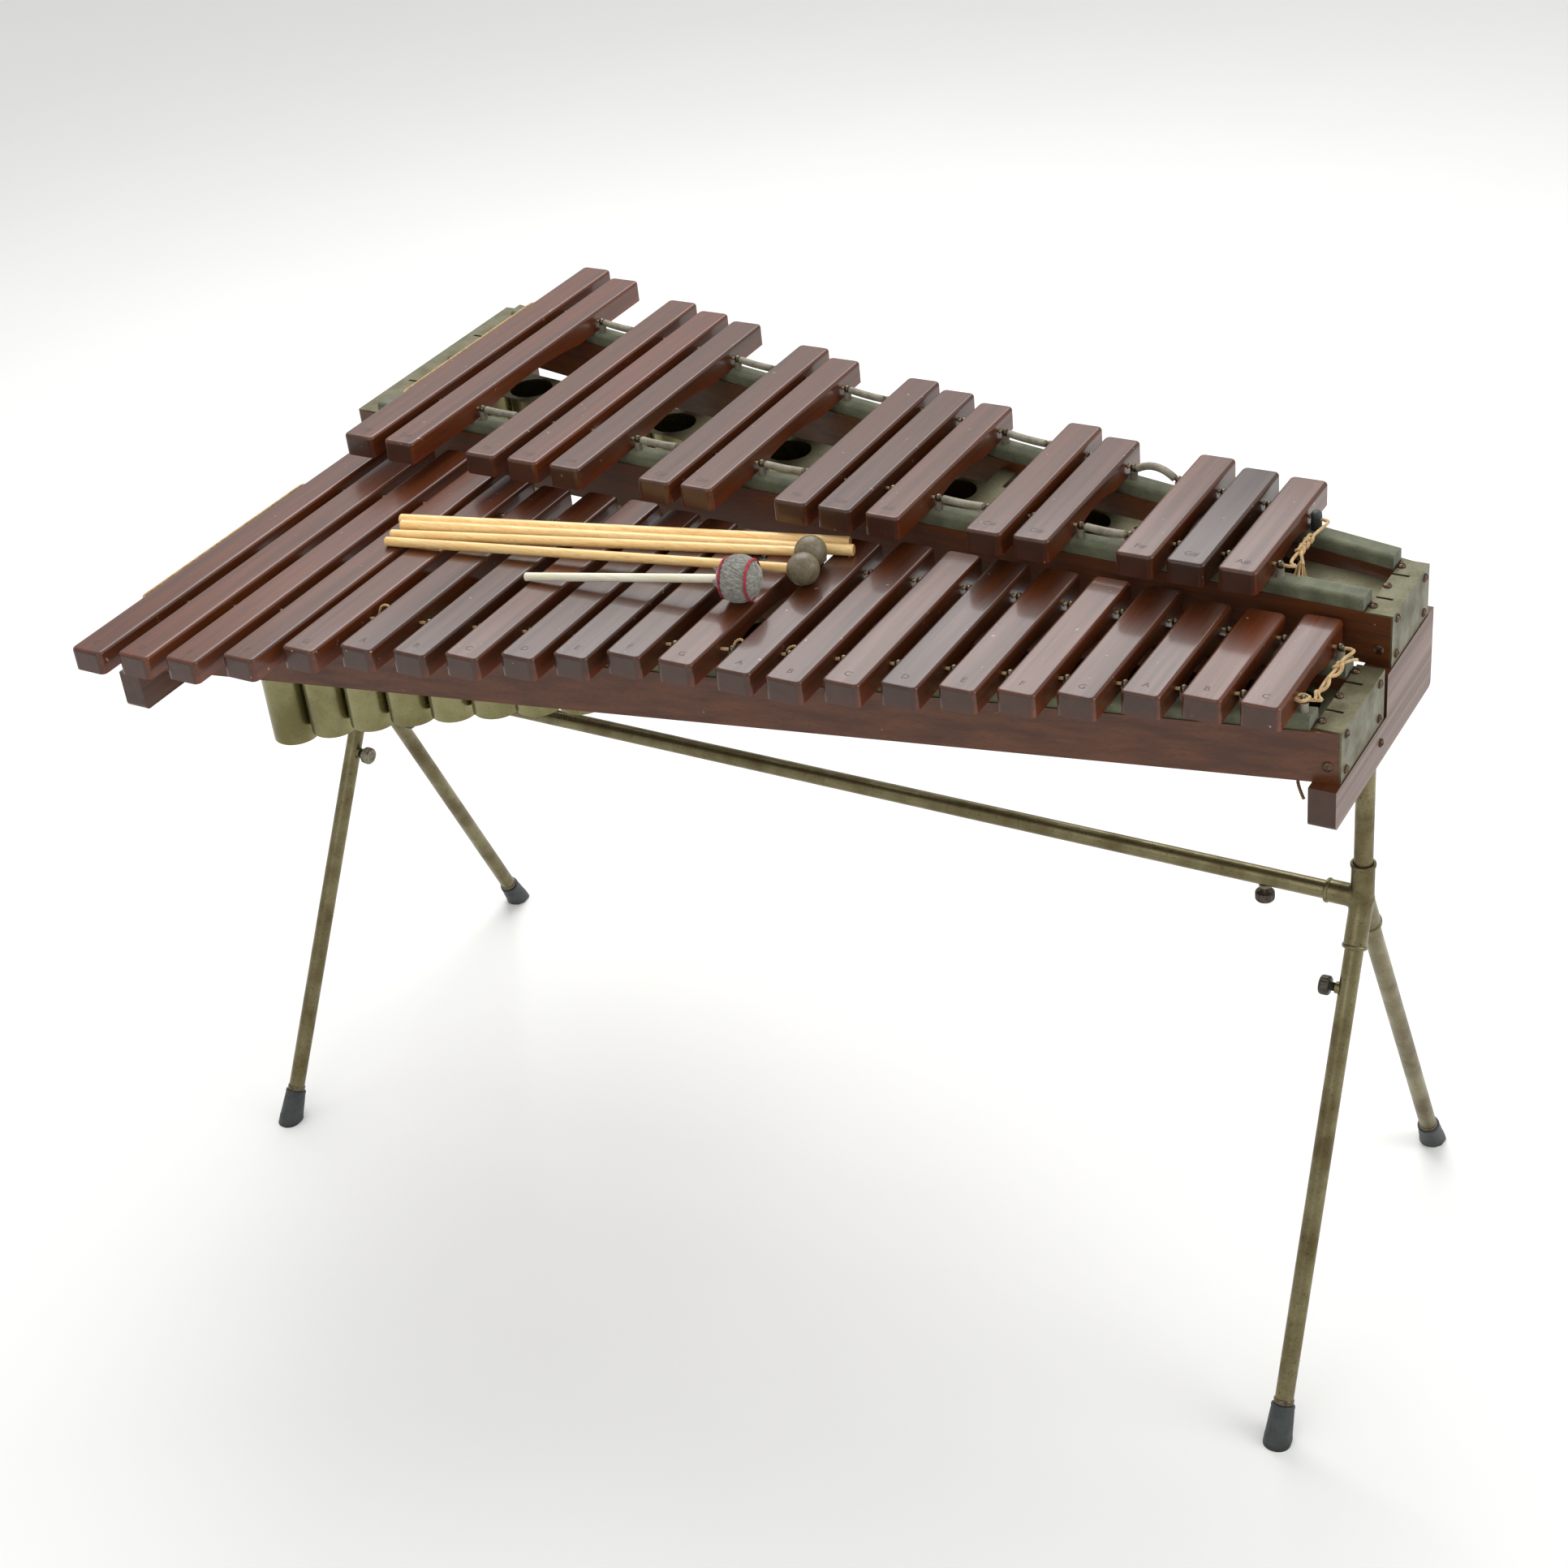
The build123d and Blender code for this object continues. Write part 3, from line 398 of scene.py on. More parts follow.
dress(agedNickel, "upright_left", "upright_right", "spreader_inner_tube", "spreader_outer_tube",
      "leg_inner_tubes", *[f"leg_{side}_{end}" for side in ("left", "right") for end in ("front", "rear")])
dress(resonatorNickel, "natural_resonators", "accidental_resonators")
dress(sheetNickel, "end_plates", "natural_resonator_plate", "accidental_resonator_plate")
dress(postNickel, "natural_cord_posts", "accidental_cord_posts")
print("metal dressed")


def softMaterial(name, look):
    # Matt surface whose colour and height both vary at the size of its fibres or bloom.
    material, tree, bsdf, place = newMaterial(name, Roughness=look["roughness"],
                                              Sheen_Weight=look.get("sheen", 0.0))
    fibre = addNode(tree, "ShaderNodeTexNoise", {"Vector": place, "Scale": 1 / (look["fibre"] * mm),
                                                 "Detail": 5.0, "Roughness": 0.7})
    cloud = addNode(tree, "ShaderNodeTexNoise", {"Vector": place, "Scale": 1 / (look["cloud"] * mm),
                                                 "Detail": 3.0})
    blend = addNode(tree, "ShaderNodeMath", {0: fibre.outputs[0], 1: cloud.outputs[0]}, operation="ADD")
    share = addNode(tree, "ShaderNodeMapRange", {0: blend.outputs[0], 1: 0.75, 2: 1.25})
    colour = addNode(tree, "ShaderNodeMix", {0: share.outputs[0], 6: hexColour(look["pale"]),
                                             7: hexColour(look["deep"])}, data_type="RGBA")
    tree.links.new(colour.outputs[2], bsdf.inputs["Base Color"])
    bump = addNode(tree, "ShaderNodeBump", {"Height": fibre.outputs[0], "Strength": look["relief"],
                                            "Distance": look["depth"] * mm})
    tree.links.new(bump.outputs[0], bsdf.inputs["Normal"])
    return material


twineLook = {"roughness": 0.9, "sheen": 0.2, "fibre": 0.6, "cloud": 6, "relief": 0.6, "depth": 0.15,
             "pale": "#cfae7e", "deep": "#9a7849"}  # dry plant fibre: straw yellow, no shine
hempTwine = softMaterial("natural hemp twine", twineLook)
# the free end of the cord is coloured darker brown than the rest
tailHemp = softMaterial("browned cord end", dict(twineLook, sheen=0.1, pale="#82644a", deep="#533c2a"))
shadeDarkenedFelt = softMaterial("grey-green wool felt", {  # flat, with matted fibres; the grey-green is darkened overall as painted shade from the bars above
    "roughness": 0.95, "sheen": 0.3, "fibre": 0.9, "cloud": 20, "relief": 0.7, "depth": 0.4,
    "pale": "#6d7055", "deep": "#424531"})
oldRubber = softMaterial("perished grey rubber tube", {  # dull and slightly chalky
    "roughness": 0.6, "fibre": 2.5, "cloud": 12, "relief": 0.2, "depth": 0.15,
    "pale": "#98917f", "deep": "#6c6557"})
footRubber = softMaterial("moulded black rubber", {  # near black with a greasy sheen
    "roughness": 0.55, "fibre": 1.5, "cloud": 15, "relief": 0.25, "depth": 0.15,
    "pale": "#3b4140", "deep": "#232727"})
ballRubber = softMaterial("bloomed grey rubber ball", {  # soft highlight over a brown-grey bloom
    "roughness": 0.42, "fibre": 3.0, "cloud": 12, "relief": 0.15, "depth": 0.2,
    "pale": "#7e745c", "deep": "#5d523e"})
greyYarn = softMaterial("grey wool yarn", {  # fuzzy edge light
    "roughness": 0.95, "sheen": 0.4, "fibre": 0.6, "cloud": 4, "relief": 0.9, "depth": 0.2,
    "pale": "#a3a198", "deep": "#6c6a62"})
redYarn = softMaterial("red binding thread", {  # spun cotton, matt crimson
    "roughness": 0.8, "fibre": 0.5, "cloud": 4, "relief": 0.4, "depth": 0.1,
    "pale": "#bd3a48", "deep": "#8e1f30"})
dress(shadeDarkenedFelt, "felt_strips")
dress(oldRubber, "post_sleeves")
print("soft finishes dressed")


screwValues = {"slotWidth": 1.1, "slotDepth": 1.3, "sides": 28, "rings": 6, "shank": 2.2}  # shank: radius


def domeProfile(radius, height):
    steps = screwValues["rings"]
    return [(radius * 0.96, 0.0), (radius, height * 0.12)] + [
        (radius * math.cos(a), height * (0.12 + 0.88 * math.sin(a)))
        for a in [0.5 * math.pi * i / steps for i in range(1, steps)]] + [(0.0, height)]


def slottedHead(radius, height):  # one head, its slot cut by a bar
    bm = bmesh.new()
    lathe(bm, domeProfile(radius, height), Matrix.Identity(4), screwValues["sides"])
    bar = bmesh.new()
    bmesh.ops.create_cube(bar, size=1.0, matrix=Matrix.Translation((0, 0, height)) @ Matrix.Diagonal(
        (radius * 3, screwValues["slotWidth"] * mm, 2 * screwValues["slotDepth"] * mm, 1)))
    head = workObject("headBlank", meshFrom(bm, "headBlank"))
    cutter = workObject("slotBar", meshFrom(bar, "slotBar"))
    cut = head.modifiers.new("slot", "BOOLEAN")
    cut.operation, cut.object = "DIFFERENCE", cutter
    mesh = bakeModifiers(head)
    bpy.data.objects.remove(cutter)
    return mesh


def loneAxis(values):  # the one direction whose spread differs from the other two
    def unlike(i):
        near, far = values[(i + 1) % 3], values[(i + 2) % 3]
        return abs(values[i] - near) + abs(values[i] - far) - 2 * abs(near - far)
    return max(range(3), key=unlike)


random.seed(11)
screws = bmesh.new()
headMeshes = {}
for points in islands("frame_screws"):
    middle = points.mean(axis=0)
    values, vectors = np.linalg.eigh(np.cov((points - middle).T))
    axis = vectors[:, loneAxis(values)]
    along = (points - middle) @ axis
    away = np.linalg.norm((points - middle) - np.outer(along, axis), axis=1)
    wide = away > screwValues["shank"] * mm
    if along[wide].mean() < along[~wide].mean():
        axis, along = -axis, -along
    seat, top, radius = along[wide].min(), along.max(), away.max()
    centre = Vector(middle) + Vector(axis) * seat
    key = (round(radius / mm, 1), round((top - seat) / mm, 1))
    if key not in headMeshes:
        headMeshes[key] = slottedHead(radius, top - seat)
    before = len(screws.verts)
    screws.from_mesh(headMeshes[key])
    screws.verts.ensure_lookup_table()
    where = placed(centre, axis, random.uniform(0, math.pi))
    for vert in screws.verts[before:]:
        vert.co = where @ vert.co
piece = addPiece("slotted_screws", screws, "keyboard", screwSteel, False)
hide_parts("frame_screws")
print("screws turned")


cordValues = {"radius": 1.6, "lay": 7.0, "lobeDepth": 0.13, "sides": 12, "step": 0.9, "corner": 7.0,
              "knotSize": 2.3, "bow": 7.0, "bowShape": 0.8,  # bow: height of the last rear tube's arch
              "firstEye": 1.6, "lastEye": 4.5, "lastPost": 5.5,  # from the cord's ends
              "tieShare": {"natural": 0.62, "accidental": 0.3},  # of the way from front to rear post
              "knotShares": (0.3, 0.42, 0.54), "tuftStrands": 26, "tuftThread": 0.32,
              "stub": 1.4}  # the natural cord's worn end


def at(x, y, z):  # a point or a step in millimetres
    return Vector((x, y, z)) * mm


def railLine(name, rising):  # Y of a rail's middle line at any X
    low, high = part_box(name)
    edge = layout["halfRail"] * mm
    ends = (low.y + edge, high.y - edge) if rising else (high.y - edge, low.y + edge)
    return lambda x: ends[0] + (ends[1] - ends[0]) * (x - low.x) / (high.x - low.x)


railLines = {name: railLine(f"{name}_rail", name.startswith("natural"))
             for name in ("natural_front", "natural_rear", "accidental_front", "accidental_rear")}


knotValues = {"steps": 24, "open": 0.55, "wide": 0.55, "long": 0.75, "high": 0.8}  # open: where its ends leave


def overhand(centre, along, across, size):  # an overhand knot: a trefoil left open at its start
    up = along.cross(across)
    wide, long, high = [knotValues[key] * size for key in ("wide", "long", "high")]
    out = []
    for i in range(knotValues["steps"] + 1):
        t = knotValues["open"] + 2 * (math.pi - knotValues["open"]) * i / knotValues["steps"]
        x, y, z = math.sin(t) + 2 * math.sin(2 * t), math.cos(t) - 2 * math.cos(2 * t), -math.sin(3 * t)
        out.append(centre + across * (x * wide) - along * (y * long) + up * (z * high))
    return out


def rope(bm, points, radius=cordValues["radius"]):  # three-strand twine along the points
    sweep(bm, resample(points, cordValues["step"] * mm), radius * mm, cordValues["sides"], 3,
          cordValues["lobeDepth"], cordValues["lay"] * mm)


sleeveSpans = []  # (start, end, rear, bow) of each rubber tube on the upper cord
for points in islands("cord_sleeves"):
    low, high = points.min(axis=0), points.max(axis=0)
    frontLine, rearLine = railLines["accidental_front"], railLines["accidental_rear"]
    rear = points[:, 1].mean() > 0.5 * (frontLine(low[0]) + rearLine(low[0]))
    line = rearLine if rear else frontLine
    start = Vector((low[0], line(low[0]), layout["accidental"] * mm))
    end = Vector((high[0], line(high[0]), layout["accidental"] * mm))
    sleeveSpans.append([start, end, rear, 0.0])
lastRear = max((span for span in sleeveSpans if span[2]), key=lambda span: span[0].x)
lastRear[3] = cordValues["bow"] * mm


def withBows(start, end):  # the run from start to end, lifted where a tube bows
    run = [start.lerp(end, i / 600) for i in range(601)]
    low, high = lastRear[0].x, lastRear[1].x
    for point in run:
        if low < point.x < high:
            share = (point.x - low) / (high - low)
            point.z += lastRear[3] * math.sin(math.pi * share) ** cordValues["bowShape"]
    return run


sideways = Vector((1, 0, 0))
for row in ("natural", "accidental"):
    low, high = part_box(f"{row}_cord")
    z = layout[row] * mm
    left, right = low.x + cordValues["firstEye"] * mm, high.x - cordValues["lastEye"] * mm
    front, rear = railLines[f"{row}_front"], railLines[f"{row}_rear"]
    cord = bmesh.new()
    postX = right - cordValues["lastPost"] * mm  # just outside the last posts' balls
    frontPost = Vector((postX, front(postX), z))
    rearPost = Vector((postX, rear(postX), z))
    frontEnd, rearEnd = Vector((right, front(right), z)), Vector((right, rear(right), z))
    across = (rearPost - frontPost).normalized()
    knot = frontPost.lerp(rearPost, cordValues["tieShare"][row]) + at(6, 0, 2)
    loop = rounded([frontEnd, Vector((left, front(left), z)), Vector((left, rear(left), z)), rearEnd],
                   cordValues["corner"] * mm)
    if row == "accidental":
        loop = loop[:-1] + withBows(loop[-2], rearEnd)
    rope(cord, loop)
    rope(cord, smoothPath([frontEnd + at(-2, 0, 0), frontEnd + at(4, 2, 0),
                           frontPost.lerp(knot, 0.2) + at(3, 0, 0), frontPost.lerp(knot, 0.6), knot]))
    rope(cord, smoothPath([rearEnd + at(-2, 0, 0), rearEnd + at(3, -3, 0),
                           rearPost.lerp(knot, 0.5) + at(2, 0, -1), knot]))
    if row == "natural":
        # the cord goes twice round the front post and both strands twist up to the knot
        second = []
        for i in range(60):
            t = i / 59
            second.append(frontPost.lerp(knot, t) + at(3 + 2 * math.cos(14 * t), 0, 1 + 2 * math.sin(14 * t)))
        rope(cord, second)
        rope(cord, [frontPost + at(-5.5 + 6 * math.cos(a), 6 * math.sin(a), -0.6 + 0.35 * a)
                    for a in [2.1 * math.pi * i / 40 for i in range(41)]])
        rope(cord, overhand(knot, across, sideways, cordValues["knotSize"] * mm))
        rope(cord, smoothPath([knot, knot + at(5, 4, 3), knot + at(9, 11, 2), knot + at(10, 17, -1)]),
             cordValues["stub"])
    else:
        # a short chain of knots, then a frayed tuft over the felt
        for share in cordValues["knotShares"]:
            rope(cord, overhand(frontPost.lerp(rearPost, share) + at(5, 0, 2), across, sideways,
                                cordValues["knotSize"] * mm))
        rope(cord, smoothPath([knot, frontPost.lerp(rearPost, 0.22) + at(8, 0, 2),
                               frontPost.lerp(rearPost, 0.17) + at(12, -2, -4)]))
        random.seed(5)
        root = frontPost.lerp(rearPost, 0.2) + at(9, -1, -1)
        for _ in range(cordValues["tuftStrands"]):
            lean = Vector((random.uniform(-0.35, 0.55), random.uniform(-1.0, 0.1), 0))
            strand = smoothPath([root, root + lean * 5 * mm + at(0, -1, -4),
                                 root + lean * 9 * mm + at(1, -4, -10),
                                 root + lean * 13 * mm + at(2, -7, -15 - random.uniform(0, 4))])
            sweep(cord, resample(strand, 1.2 * mm), cordValues["tuftThread"] * mm, 5)
    piece = addPiece(f"{row}_twine", cord, "keyboard", hempTwine)
    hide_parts(f"{row}_cord")

bightValues = {"radius": 1.3, "places": ((4.5, 7, 9), (11.5, 5, 5), (12.5, 5, 3))}  # bars along, width, height
bights = bmesh.new()
for bars, wide, high in bightValues["places"]:
    x = (layout["firstBar"] + layout["pitch"] * bars) * mm
    base = Vector((x, railLines["natural_front"](x), layout["natural"] * mm))
    rope(bights, smoothPath([base + at(-wide, 3, 0), base + at(-wide * 0.6, 6, high),
                             base + at(wide * 0.3, 8, high + 1), base + at(wide, 5, high * 0.4),
                             base + at(wide * 0.6, 2, 0)]), bightValues["radius"])
addPiece("cord_bights", bights, "keyboard", hempTwine)
print("cords laid")

# Short free end under the natural front rail, from the stand's middle.
tailValues = {"points": ((519.5, -90.0, 638.0), (519.5, -90.0, 627.0), (521.0, -90.8, 617.0),
                         (526.0, -91.6, 607.0)), "standX": 14.7671}
tailPoints = [at(x + tailValues["standX"], y, z) for x, y, z in tailValues["points"]]
tailCurve = bpy.data.curves.new("tail_route", "CURVE")
tailCurve.dimensions = "3D"
spline = tailCurve.splines.new("NURBS")
spline.points.add(len(tailPoints) - 1)
for point, spot in zip(spline.points, tailPoints):
    point.co = (*spot, 1)
spline.order_u = 3
spline.use_endpoint_u = True
tailCurve.resolution_u = 24
tailLine = [vert.co.copy() for vert in bakeModifiers(workObject("tail_route", tailCurve)).vertices]
tail = bmesh.new()
rope(tail, tailLine)
tailPiece = addPiece("cord_tail_twine", tail, "keyboard", tailHemp)
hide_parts("cord_tail")

# Rubber tubes on the upper cord, and the sleeve pulled right up the last rear post.
sleeveValues = {"outer": 3.6, "sag": 0.8, "lip": 0.9, "steps": 30}
tubes = bmesh.new()
for start, end, rear, bow in sleeveSpans:
    lift = bow if bow else -sleeveValues["sag"] * mm
    shares = [i / sleeveValues["steps"] for i in range(sleeveValues["steps"] + 1)]
    run = [start.lerp(end, t) + Vector((0, 0, lift * math.sin(math.pi * t) ** cordValues["bowShape"]))
           for t in shares]
    radii = [sleeveValues["outer"] * mm] * len(run)
    radii[0] = radii[-1] = sleeveValues["outer"] * sleeveValues["lip"] * mm
    sweep(tubes, run, radii, 16)
piece = addPiece("rubber_cord_tubes", tubes, "keyboard", oldRubber)
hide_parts("cord_sleeves")


def treble(points):  # how far to the right, and then to the rear
    return points[:, 0].mean() + 0.01 * points[:, 1].mean()


lastPost = max(islands("accidental_cord_posts"), key=treble)
underBar = (layout["accidental"] - layout["halfBar"]) * mm
postFoot = Vector((lastPost[:, 0].mean(), lastPost[:, 1].mean(), underBar))
cap = bmesh.new()
lathe(cap, [(5.0 * mm, 0), (5.0 * mm, 13 * mm), (4.6 * mm, 16 * mm), (3.2 * mm, 17.6 * mm), (0, 18 * mm)],
      placed(postFoot, (0, 0, 1)), 24)
addPiece("black_post_sleeve", cap, "keyboard", footRubber)
print("rubber sleeves fitted")


letterValues = {"size": 10.0, "raise": 0.06, "inset": 16.0, "natural": "CDEFGAB",
                "accidental": ("C#", "D#", "F#", "G#", "A#")}
stampInk, stampTree, stampShader, stampPlace = newMaterial("dark stamped letter", Roughness=0.5)
stampNoise = addNode(stampTree, "ShaderNodeTexNoise", {"Vector": stampPlace, "Scale": 1 / (1.5 * mm)})
stampMix = addNode(stampTree, "ShaderNodeMix", {0: stampNoise.outputs[0], 6: hexColour("#2a1510"),
                                                7: hexColour("#472a20")}, data_type="RGBA")
stampTree.links.new(stampMix.outputs[2], stampShader.inputs["Base Color"])
letters = bmesh.new()
for names, labels in ((naturalBars, letterValues["natural"]), (accidentalBars, letterValues["accidental"])):
    bars = sorted((points for name in names for points in islands(name)),
                  key=lambda points: points[:, 0].mean())
    for index, points in enumerate(bars):
        low, high = points.min(axis=0), points.max(axis=0)
        text = bpy.data.curves.new("stamp", "FONT")
        text.body = labels[index % len(labels)]
        text.size = letterValues["size"] * mm
        text.extrude = letterValues["raise"] / 2 * mm
        text.align_x, text.align_y = "CENTER", "CENTER"
        text.resolution_u = 2
        mesh = bakeModifiers(workObject("stamp", text))
        mesh.transform(Matrix.Translation(((low[0] + high[0]) / 2, low[1] + letterValues["inset"] * mm,
                                           high[2] + letterValues["raise"] / 4 * mm)))
        letters.from_mesh(mesh)
addPiece("note_letters", letters, "keyboard", stampInk, False)
print("letters stamped")


castingValues = {"voxel": 0.9, "smoothing": 14, "ball": 11.2, "tube": 10.5, "rimRadius": 11.4,
                 "rimHeight": 4.0, "bore": 8.7,
                 "sockets": (38.0, 33.0, 46.0, 46.0)}  # upright, spreader, two legs
legAxes = {joint["name"].replace("leg_extend_", ""): Vector(joint["axis"]) for joint in frame["joints"]
           if joint["name"].startswith("leg_extend")}


def apexOf(side):  # where the tubes of a casting meet
    low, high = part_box(f"upright_{side}")
    return Vector(((low.x + high.x) / 2, (low.y + high.y) / 2, layout["apex"] * mm))


for side, inward in (("left", 1), ("right", -1)):
    apex = apexOf(side)
    axes = [Vector((0, 0, 1)), Vector((inward, 0, 0)), legAxes[f"{side}_front"], legAxes[f"{side}_rear"]]
    body = bmesh.new()
    size = castingValues["ball"] * mm
    arc = [math.pi * (i / 12 - 0.5) for i in range(1, 12)]
    lathe(body, [(0.0, -size)] + [(size * math.cos(a), size * math.sin(a)) for a in arc] + [(0.0, size)],
          placed(apex, (0, 0, 1)), 32)
    for axis, length in zip(axes, castingValues["sockets"]):
        tube = castingValues["tube"] * mm
        lathe(body, [(tube, 0), (tube, (length - 1) * mm)], placed(apex, axis), 40)
    blank = workObject("castingBlank", meshFrom(body, "castingBlank"))
    remesh = blank.modifiers.new("skin", "REMESH")
    remesh.mode, remesh.voxel_size = "VOXEL", castingValues["voxel"] * mm
    soften = blank.modifiers.new("blend", "SMOOTH")
    soften.factor, soften.iterations = 0.5, castingValues["smoothing"]
    rims = bmesh.new()
    rims.from_mesh(bakeModifiers(blank))
    outer, height, bore = [castingValues[key] * mm for key in ("rimRadius", "rimHeight", "bore")]
    for axis, length in zip(axes, castingValues["sockets"]):
        lathe(rims, [(outer - 1.2 * mm, 0), (outer, 0.8 * mm), (outer, height - 0.9 * mm),
                     (outer - 0.8 * mm, height), (bore, height), (bore - 0.1 * mm, height - 2.5 * mm)],
              placed(apex + axis * (length * mm - height), axis), 40)
    piece = addPiece(f"socket_casting_{side}", rims, "stand", agedNickel)
    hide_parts(f"casting_{side}")
print("castings blended")

knobValues = {"radius": 9.0, "thickness": 9.5, "neck": 5.0, "neckRadius": 4.0, "flutes": 22,
              "fluteDepth": 0.03, "seat": 11.05, "screw": 2.4}  # seat: from the joint's middle


def flute(angle, reach):  # the rim is fluted, its face is not
    radius = knobValues["radius"] * mm
    edge = max(0.0, min(1.0, (reach - 0.8 * radius) / (0.2 * radius)))
    return 1 + knobValues["fluteDepth"] * edge * (math.cos(knobValues["flutes"] * angle) - 1)


radius, neck, thick = [knobValues[key] * mm for key in ("radius", "neck", "thickness")]
screwRadius, neckRadius = knobValues["screw"] * mm, knobValues["neckRadius"] * mm
knobProfile = [(0, -2.6 * mm), (screwRadius, -2.6 * mm), (screwRadius, 0.0), (neckRadius, 0.2 * mm),
               (neckRadius, neck)]
knobProfile += [(radius * share, neck + rise * mm) for share, rise in ((0.86, 0.1), (0.97, 0.9), (1.0, 2.2))]
knobProfile += [(radius * share, neck + thick - drop * mm) for share, drop in (
    (1.0, 2.4), (0.96, 1.0), (0.84, 0.15), (0.5, 0.0), (0.42, 1.4), (0, 1.8))]
for joint in frame["joints"]:
    if not joint["name"].startswith("knob_turn"):
        continue
    part = joint["name"].replace("knob_turn_", "")
    node = "spreader_knob" if part == "spreader" else f"leg_knob_{part}"
    body = "spreader_knob" if part == "spreader" else f"knob_{part}"
    axis = Vector(joint["axis"])
    seat = Vector(joint["pos_m"]) + axis * knobValues["seat"] * mm
    knob = bmesh.new()
    lathe(knob, knobProfile, placed(seat, axis), 88, flute)
    finish = paleKnob if part == "left_front" else knobMetal
    piece = addPiece(f"knurled_knob_{part}", knob, body, finish)
    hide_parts(node)
print("knobs turned")

footValues = {"height": 36.0,  # of the rubber's top above the floor, along the leg
              "rubber": ((8.8, -0.2), (10.2, 0.0), (10.9, 0.7), (11.1, 2.2), (10.7, 3.4), (10.9, 5.0),
                         (11.6, 14.0), (12.2, 24.0), (12.6, 29.0), (13.0, 30.5), (13.0, 33.0), (12.8, 42.0)),
              "ferrule": ((8.55, -5.6), (9.1, -5.4), (9.4, -4.6), (9.4, -0.4), (8.9, 0.2), (8.55, 0.3))}
for part, axis in legAxes.items():
    apex = apexOf(part.split("_")[0])
    start = apex + axis * (apex.z / -axis.z) - axis * (footValues["height"] * mm)
    foot = bmesh.new()
    lathe(foot, [(r * mm, h * mm) for r, h in footValues["rubber"]], placed(start, axis), 40)
    for vert in foot.verts:
        vert.co.z = max(vert.co.z, 0.0)
    bmesh.ops.remove_doubles(foot, verts=foot.verts, dist=0.01 * mm)
    piece = addPiece(f"turned_rubber_foot_{part}", foot, f"leg_{part}", footRubber)
    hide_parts(f"rubber_foot_{part}")
    ferrule = bmesh.new()
    lathe(ferrule, [(r * mm, h * mm) for r, h in footValues["ferrule"]], placed(start, axis), 40)
    addPiece(f"pale_ferrule_{part}", ferrule, f"leg_{part}", postNickel)
print("feet turned")


def stickAxis(node, diameter):
    low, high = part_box(node)
    return Vector((high.x - low.x, high.y - low.y - diameter * 0.97, 0)).normalized()


ballValues = {"rings": 28, "seam": 0.0132, "seamWidth": 0.05, "stick": 9.0}  # seam: the mould's parting line
for part in ("rear", "front"):
    low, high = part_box(f"rubber_mallet_{part}_head")
    centre, radius = (low + high) / 2, (high.z - low.z) / 2
    axis = stickAxis(f"rubber_mallet_{part}_stick", ballValues["stick"] * mm)
    ball = bmesh.new()
    profile = []
    for i in range(ballValues["rings"] + 1):
        a = math.pi * (i / ballValues["rings"] - 0.5)
        seam = 1 + ballValues["seam"] * math.exp(-(a / ballValues["seamWidth"]) ** 2)
        pole = i in (0, ballValues["rings"])
        profile.append((0.0 if pole else radius * math.cos(a) * seam, radius * math.sin(a)))
    lathe(ball, profile, placed(centre, axis), 48)
    piece = addPiece(f"rubber_ball_{part}", ball, f"rubber_mallet_{part}", ballRubber)
    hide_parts(f"rubber_mallet_{part}_head")

yarnValues = {"strands": 92, "thread": 0.95, "bands": (-0.62, 0.58), "bandThread": 0.75, "ends": 24,
              "stick": 8.0, "squash": 0.93}  # squash: along the stick
random.seed(23)
low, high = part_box("yarn_mallet_head")
centre, radius = (low + high) / 2, (high.z - low.z) / 2
axis = stickAxis("yarn_mallet_stick", yarnValues["stick"] * mm)
frameTurn = placed((0, 0, 0), axis)
yarn = bmesh.new()
for k in range(yarnValues["strands"]):
    tilt = random.uniform(0.1, 0.5)
    spin = 2 * math.pi * k / yarnValues["strands"] + random.uniform(-0.05, 0.05)
    layer = radius - yarnValues["thread"] * mm * random.uniform(1.0, 2.4)
    turn = frameTurn @ Matrix.Rotation(spin, 4, "Z") @ Matrix.Rotation(tilt, 4, "X")
    ring = []
    for i in range(41):
        a = 2 * math.pi * i / 40
        wobble = 1 + 0.012 * math.sin(5 * a + k)
        spot = Vector((math.cos(a) * 0.97, 0, math.sin(a) * yarnValues["squash"])) * (layer * wobble)
        ring.append(centre + turn @ spot)
    sweep(yarn, ring, yarnValues["thread"] * mm, 6)
core = [(0.0 if i in (0, 16) else 0.92 * radius * math.cos(math.pi * (i / 16 - 0.5)),
         0.88 * radius * math.sin(math.pi * (i / 16 - 0.5))) for i in range(17)]
lathe(yarn, core, placed(centre, axis), 32)
for _ in range(yarnValues["ends"]):  # loose yarn ends round the stick
    angle = random.uniform(0, 2 * math.pi)
    out = frameTurn @ Vector((math.cos(angle), math.sin(angle), 0))
    root = centre - axis * radius * 0.8 + out * 7 * mm
    tip = root - axis * random.uniform(3, 6) * mm + out * random.uniform(-2.5, 2.0) * mm
    sweep(yarn, resample(smoothPath([root, (root + tip) / 2 + out * 0.8 * mm, tip], 6), 0.9 * mm), 0.7 * mm, 5)
piece = addPiece("wound_yarn_head", yarn, "yarn_mallet", greyYarn)
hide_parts("yarn_mallet_head")
bands = bmesh.new()
for share in yarnValues["bands"]:
    for turnIndex in range(2):
        height = radius * (share + 0.04 * turnIndex) * yarnValues["squash"]
        reach = radius * math.sqrt(1 - (height / radius) ** 2) * 0.985
        ring = [centre + axis * (height + 0.4 * mm * math.sin(2 * a))
                + frameTurn @ Vector((reach * math.cos(a), reach * math.sin(a), 0))
                for a in [2 * math.pi * i / 48 for i in range(49)]]
        sweep(bands, ring, yarnValues["bandThread"] * mm, 6)
addPiece("red_yarn_bands", bands, "yarn_mallet", redYarn)
print("mallet heads wound")

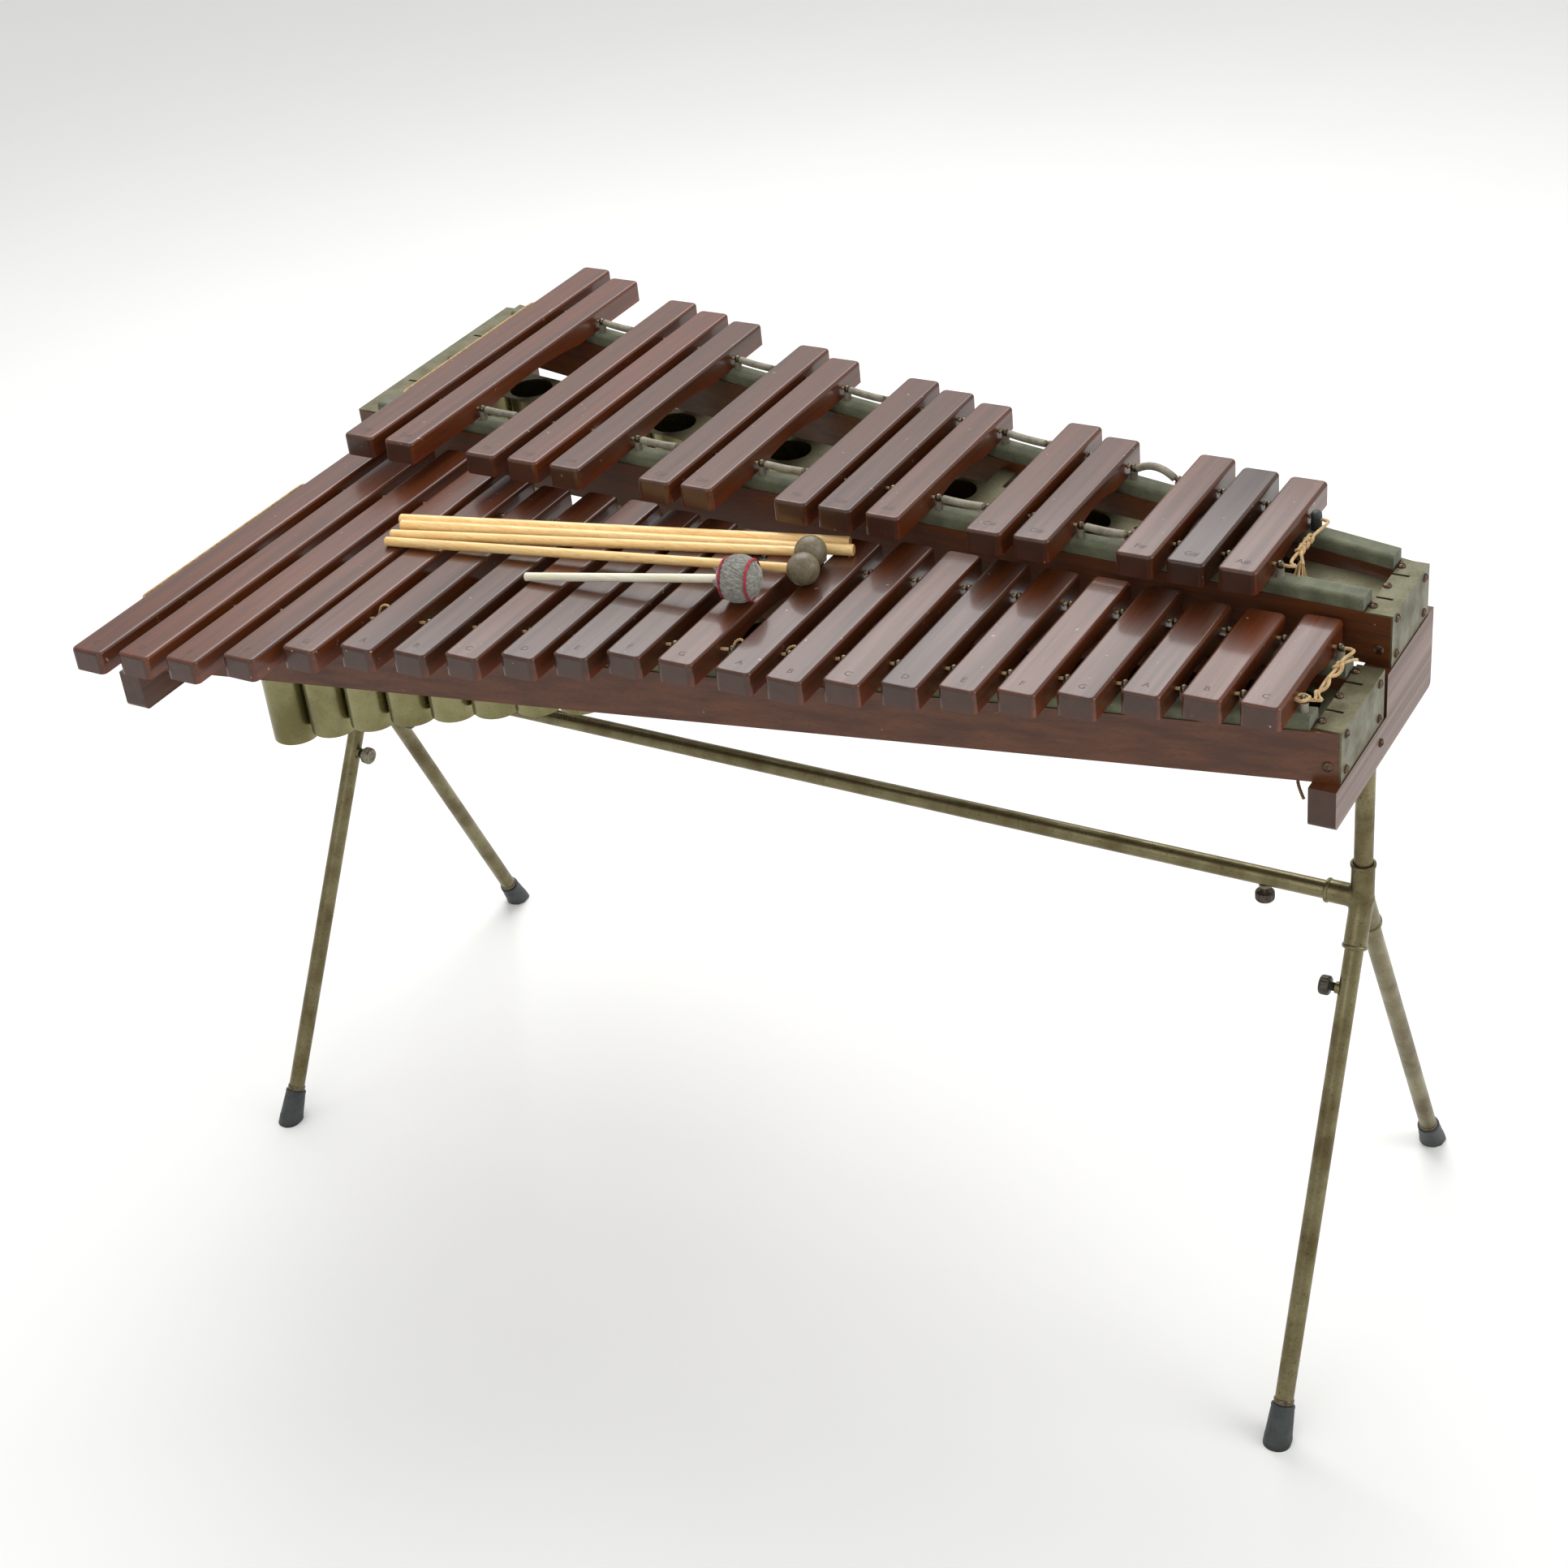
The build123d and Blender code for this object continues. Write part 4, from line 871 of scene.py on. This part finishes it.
roomValues = {"floor": "#f4f4f2", "world": 0.72, "size": 8.0}
floorMaterial, floorTree, floorShader, floorPlace = newMaterial("matt white studio floor", Roughness=0.9)
floorNoise = addNode(floorTree, "ShaderNodeTexNoise", {"Vector": floorPlace, "Scale": 3.0})
floorMix = addNode(floorTree, "ShaderNodeMix", {0: floorNoise.outputs[0], 6: hexColour(roomValues["floor"]),
                                                7: hexColour("#f7f7f5")}, data_type="RGBA")
floorTree.links.new(floorMix.outputs[2], floorShader.inputs["Base Color"])
sheet = bmesh.new()
bmesh.ops.create_grid(sheet, x_segments=8, y_segments=8, size=roomValues["size"])
floorMesh = meshFrom(sheet, "studio_floor")
floor = workObject("studio_floor", floorMesh)
floorMesh.materials.append(floorMaterial)

world = bpy.data.worlds.new("soft studio")
world.use_nodes = True
backdrop = world.node_tree.nodes["Background"]
backdrop.inputs[0].default_value = (1.0, 1.0, 1.0, 1.0)
backdrop.inputs[1].default_value = roomValues["world"]
bpy.context.scene.world = world

lampValues = [  # name, place, aimed at, size, watts
    ("overhead softbox", (-0.8, 1.4, 2.8), (0.0, 0.1, 0.6), 2.2, 60),
    ("front fill", (0.2, -3.2, 2.2), (0.0, 0.0, 0.4), 2.4, 16),
    ("right window", (2.8, 0.4, 1.8), (0.4, 0.0, 0.6), 1.6, 26)]
for name, place, aim, size, watts in lampValues:
    lamp = bpy.data.lights.new(name, "AREA")
    lamp.shape, lamp.size, lamp.energy = "SQUARE", size, watts
    lampPiece = workObject(name, lamp)
    lampPiece.matrix_world = placed(Vector(place), Vector(place) - Vector(aim))

cameraValues = {"lens": 60.24, "sensor": 36.0, "place": (1.15625, -1.83325, 1.83913),
                "turn": (0.99500321, 0.09573233, 0.5111508)}
camera = bpy.data.cameras.new("studio camera")
camera.lens, camera.sensor_width = cameraValues["lens"], cameraValues["sensor"]
cameraPiece = workObject("studio camera", camera)
cameraPiece.location = cameraValues["place"]
cameraPiece.rotation_euler = cameraValues["turn"]
bpy.context.scene.camera = cameraPiece
bpy.context.scene.view_settings.view_transform = "Standard"
print("room lit")
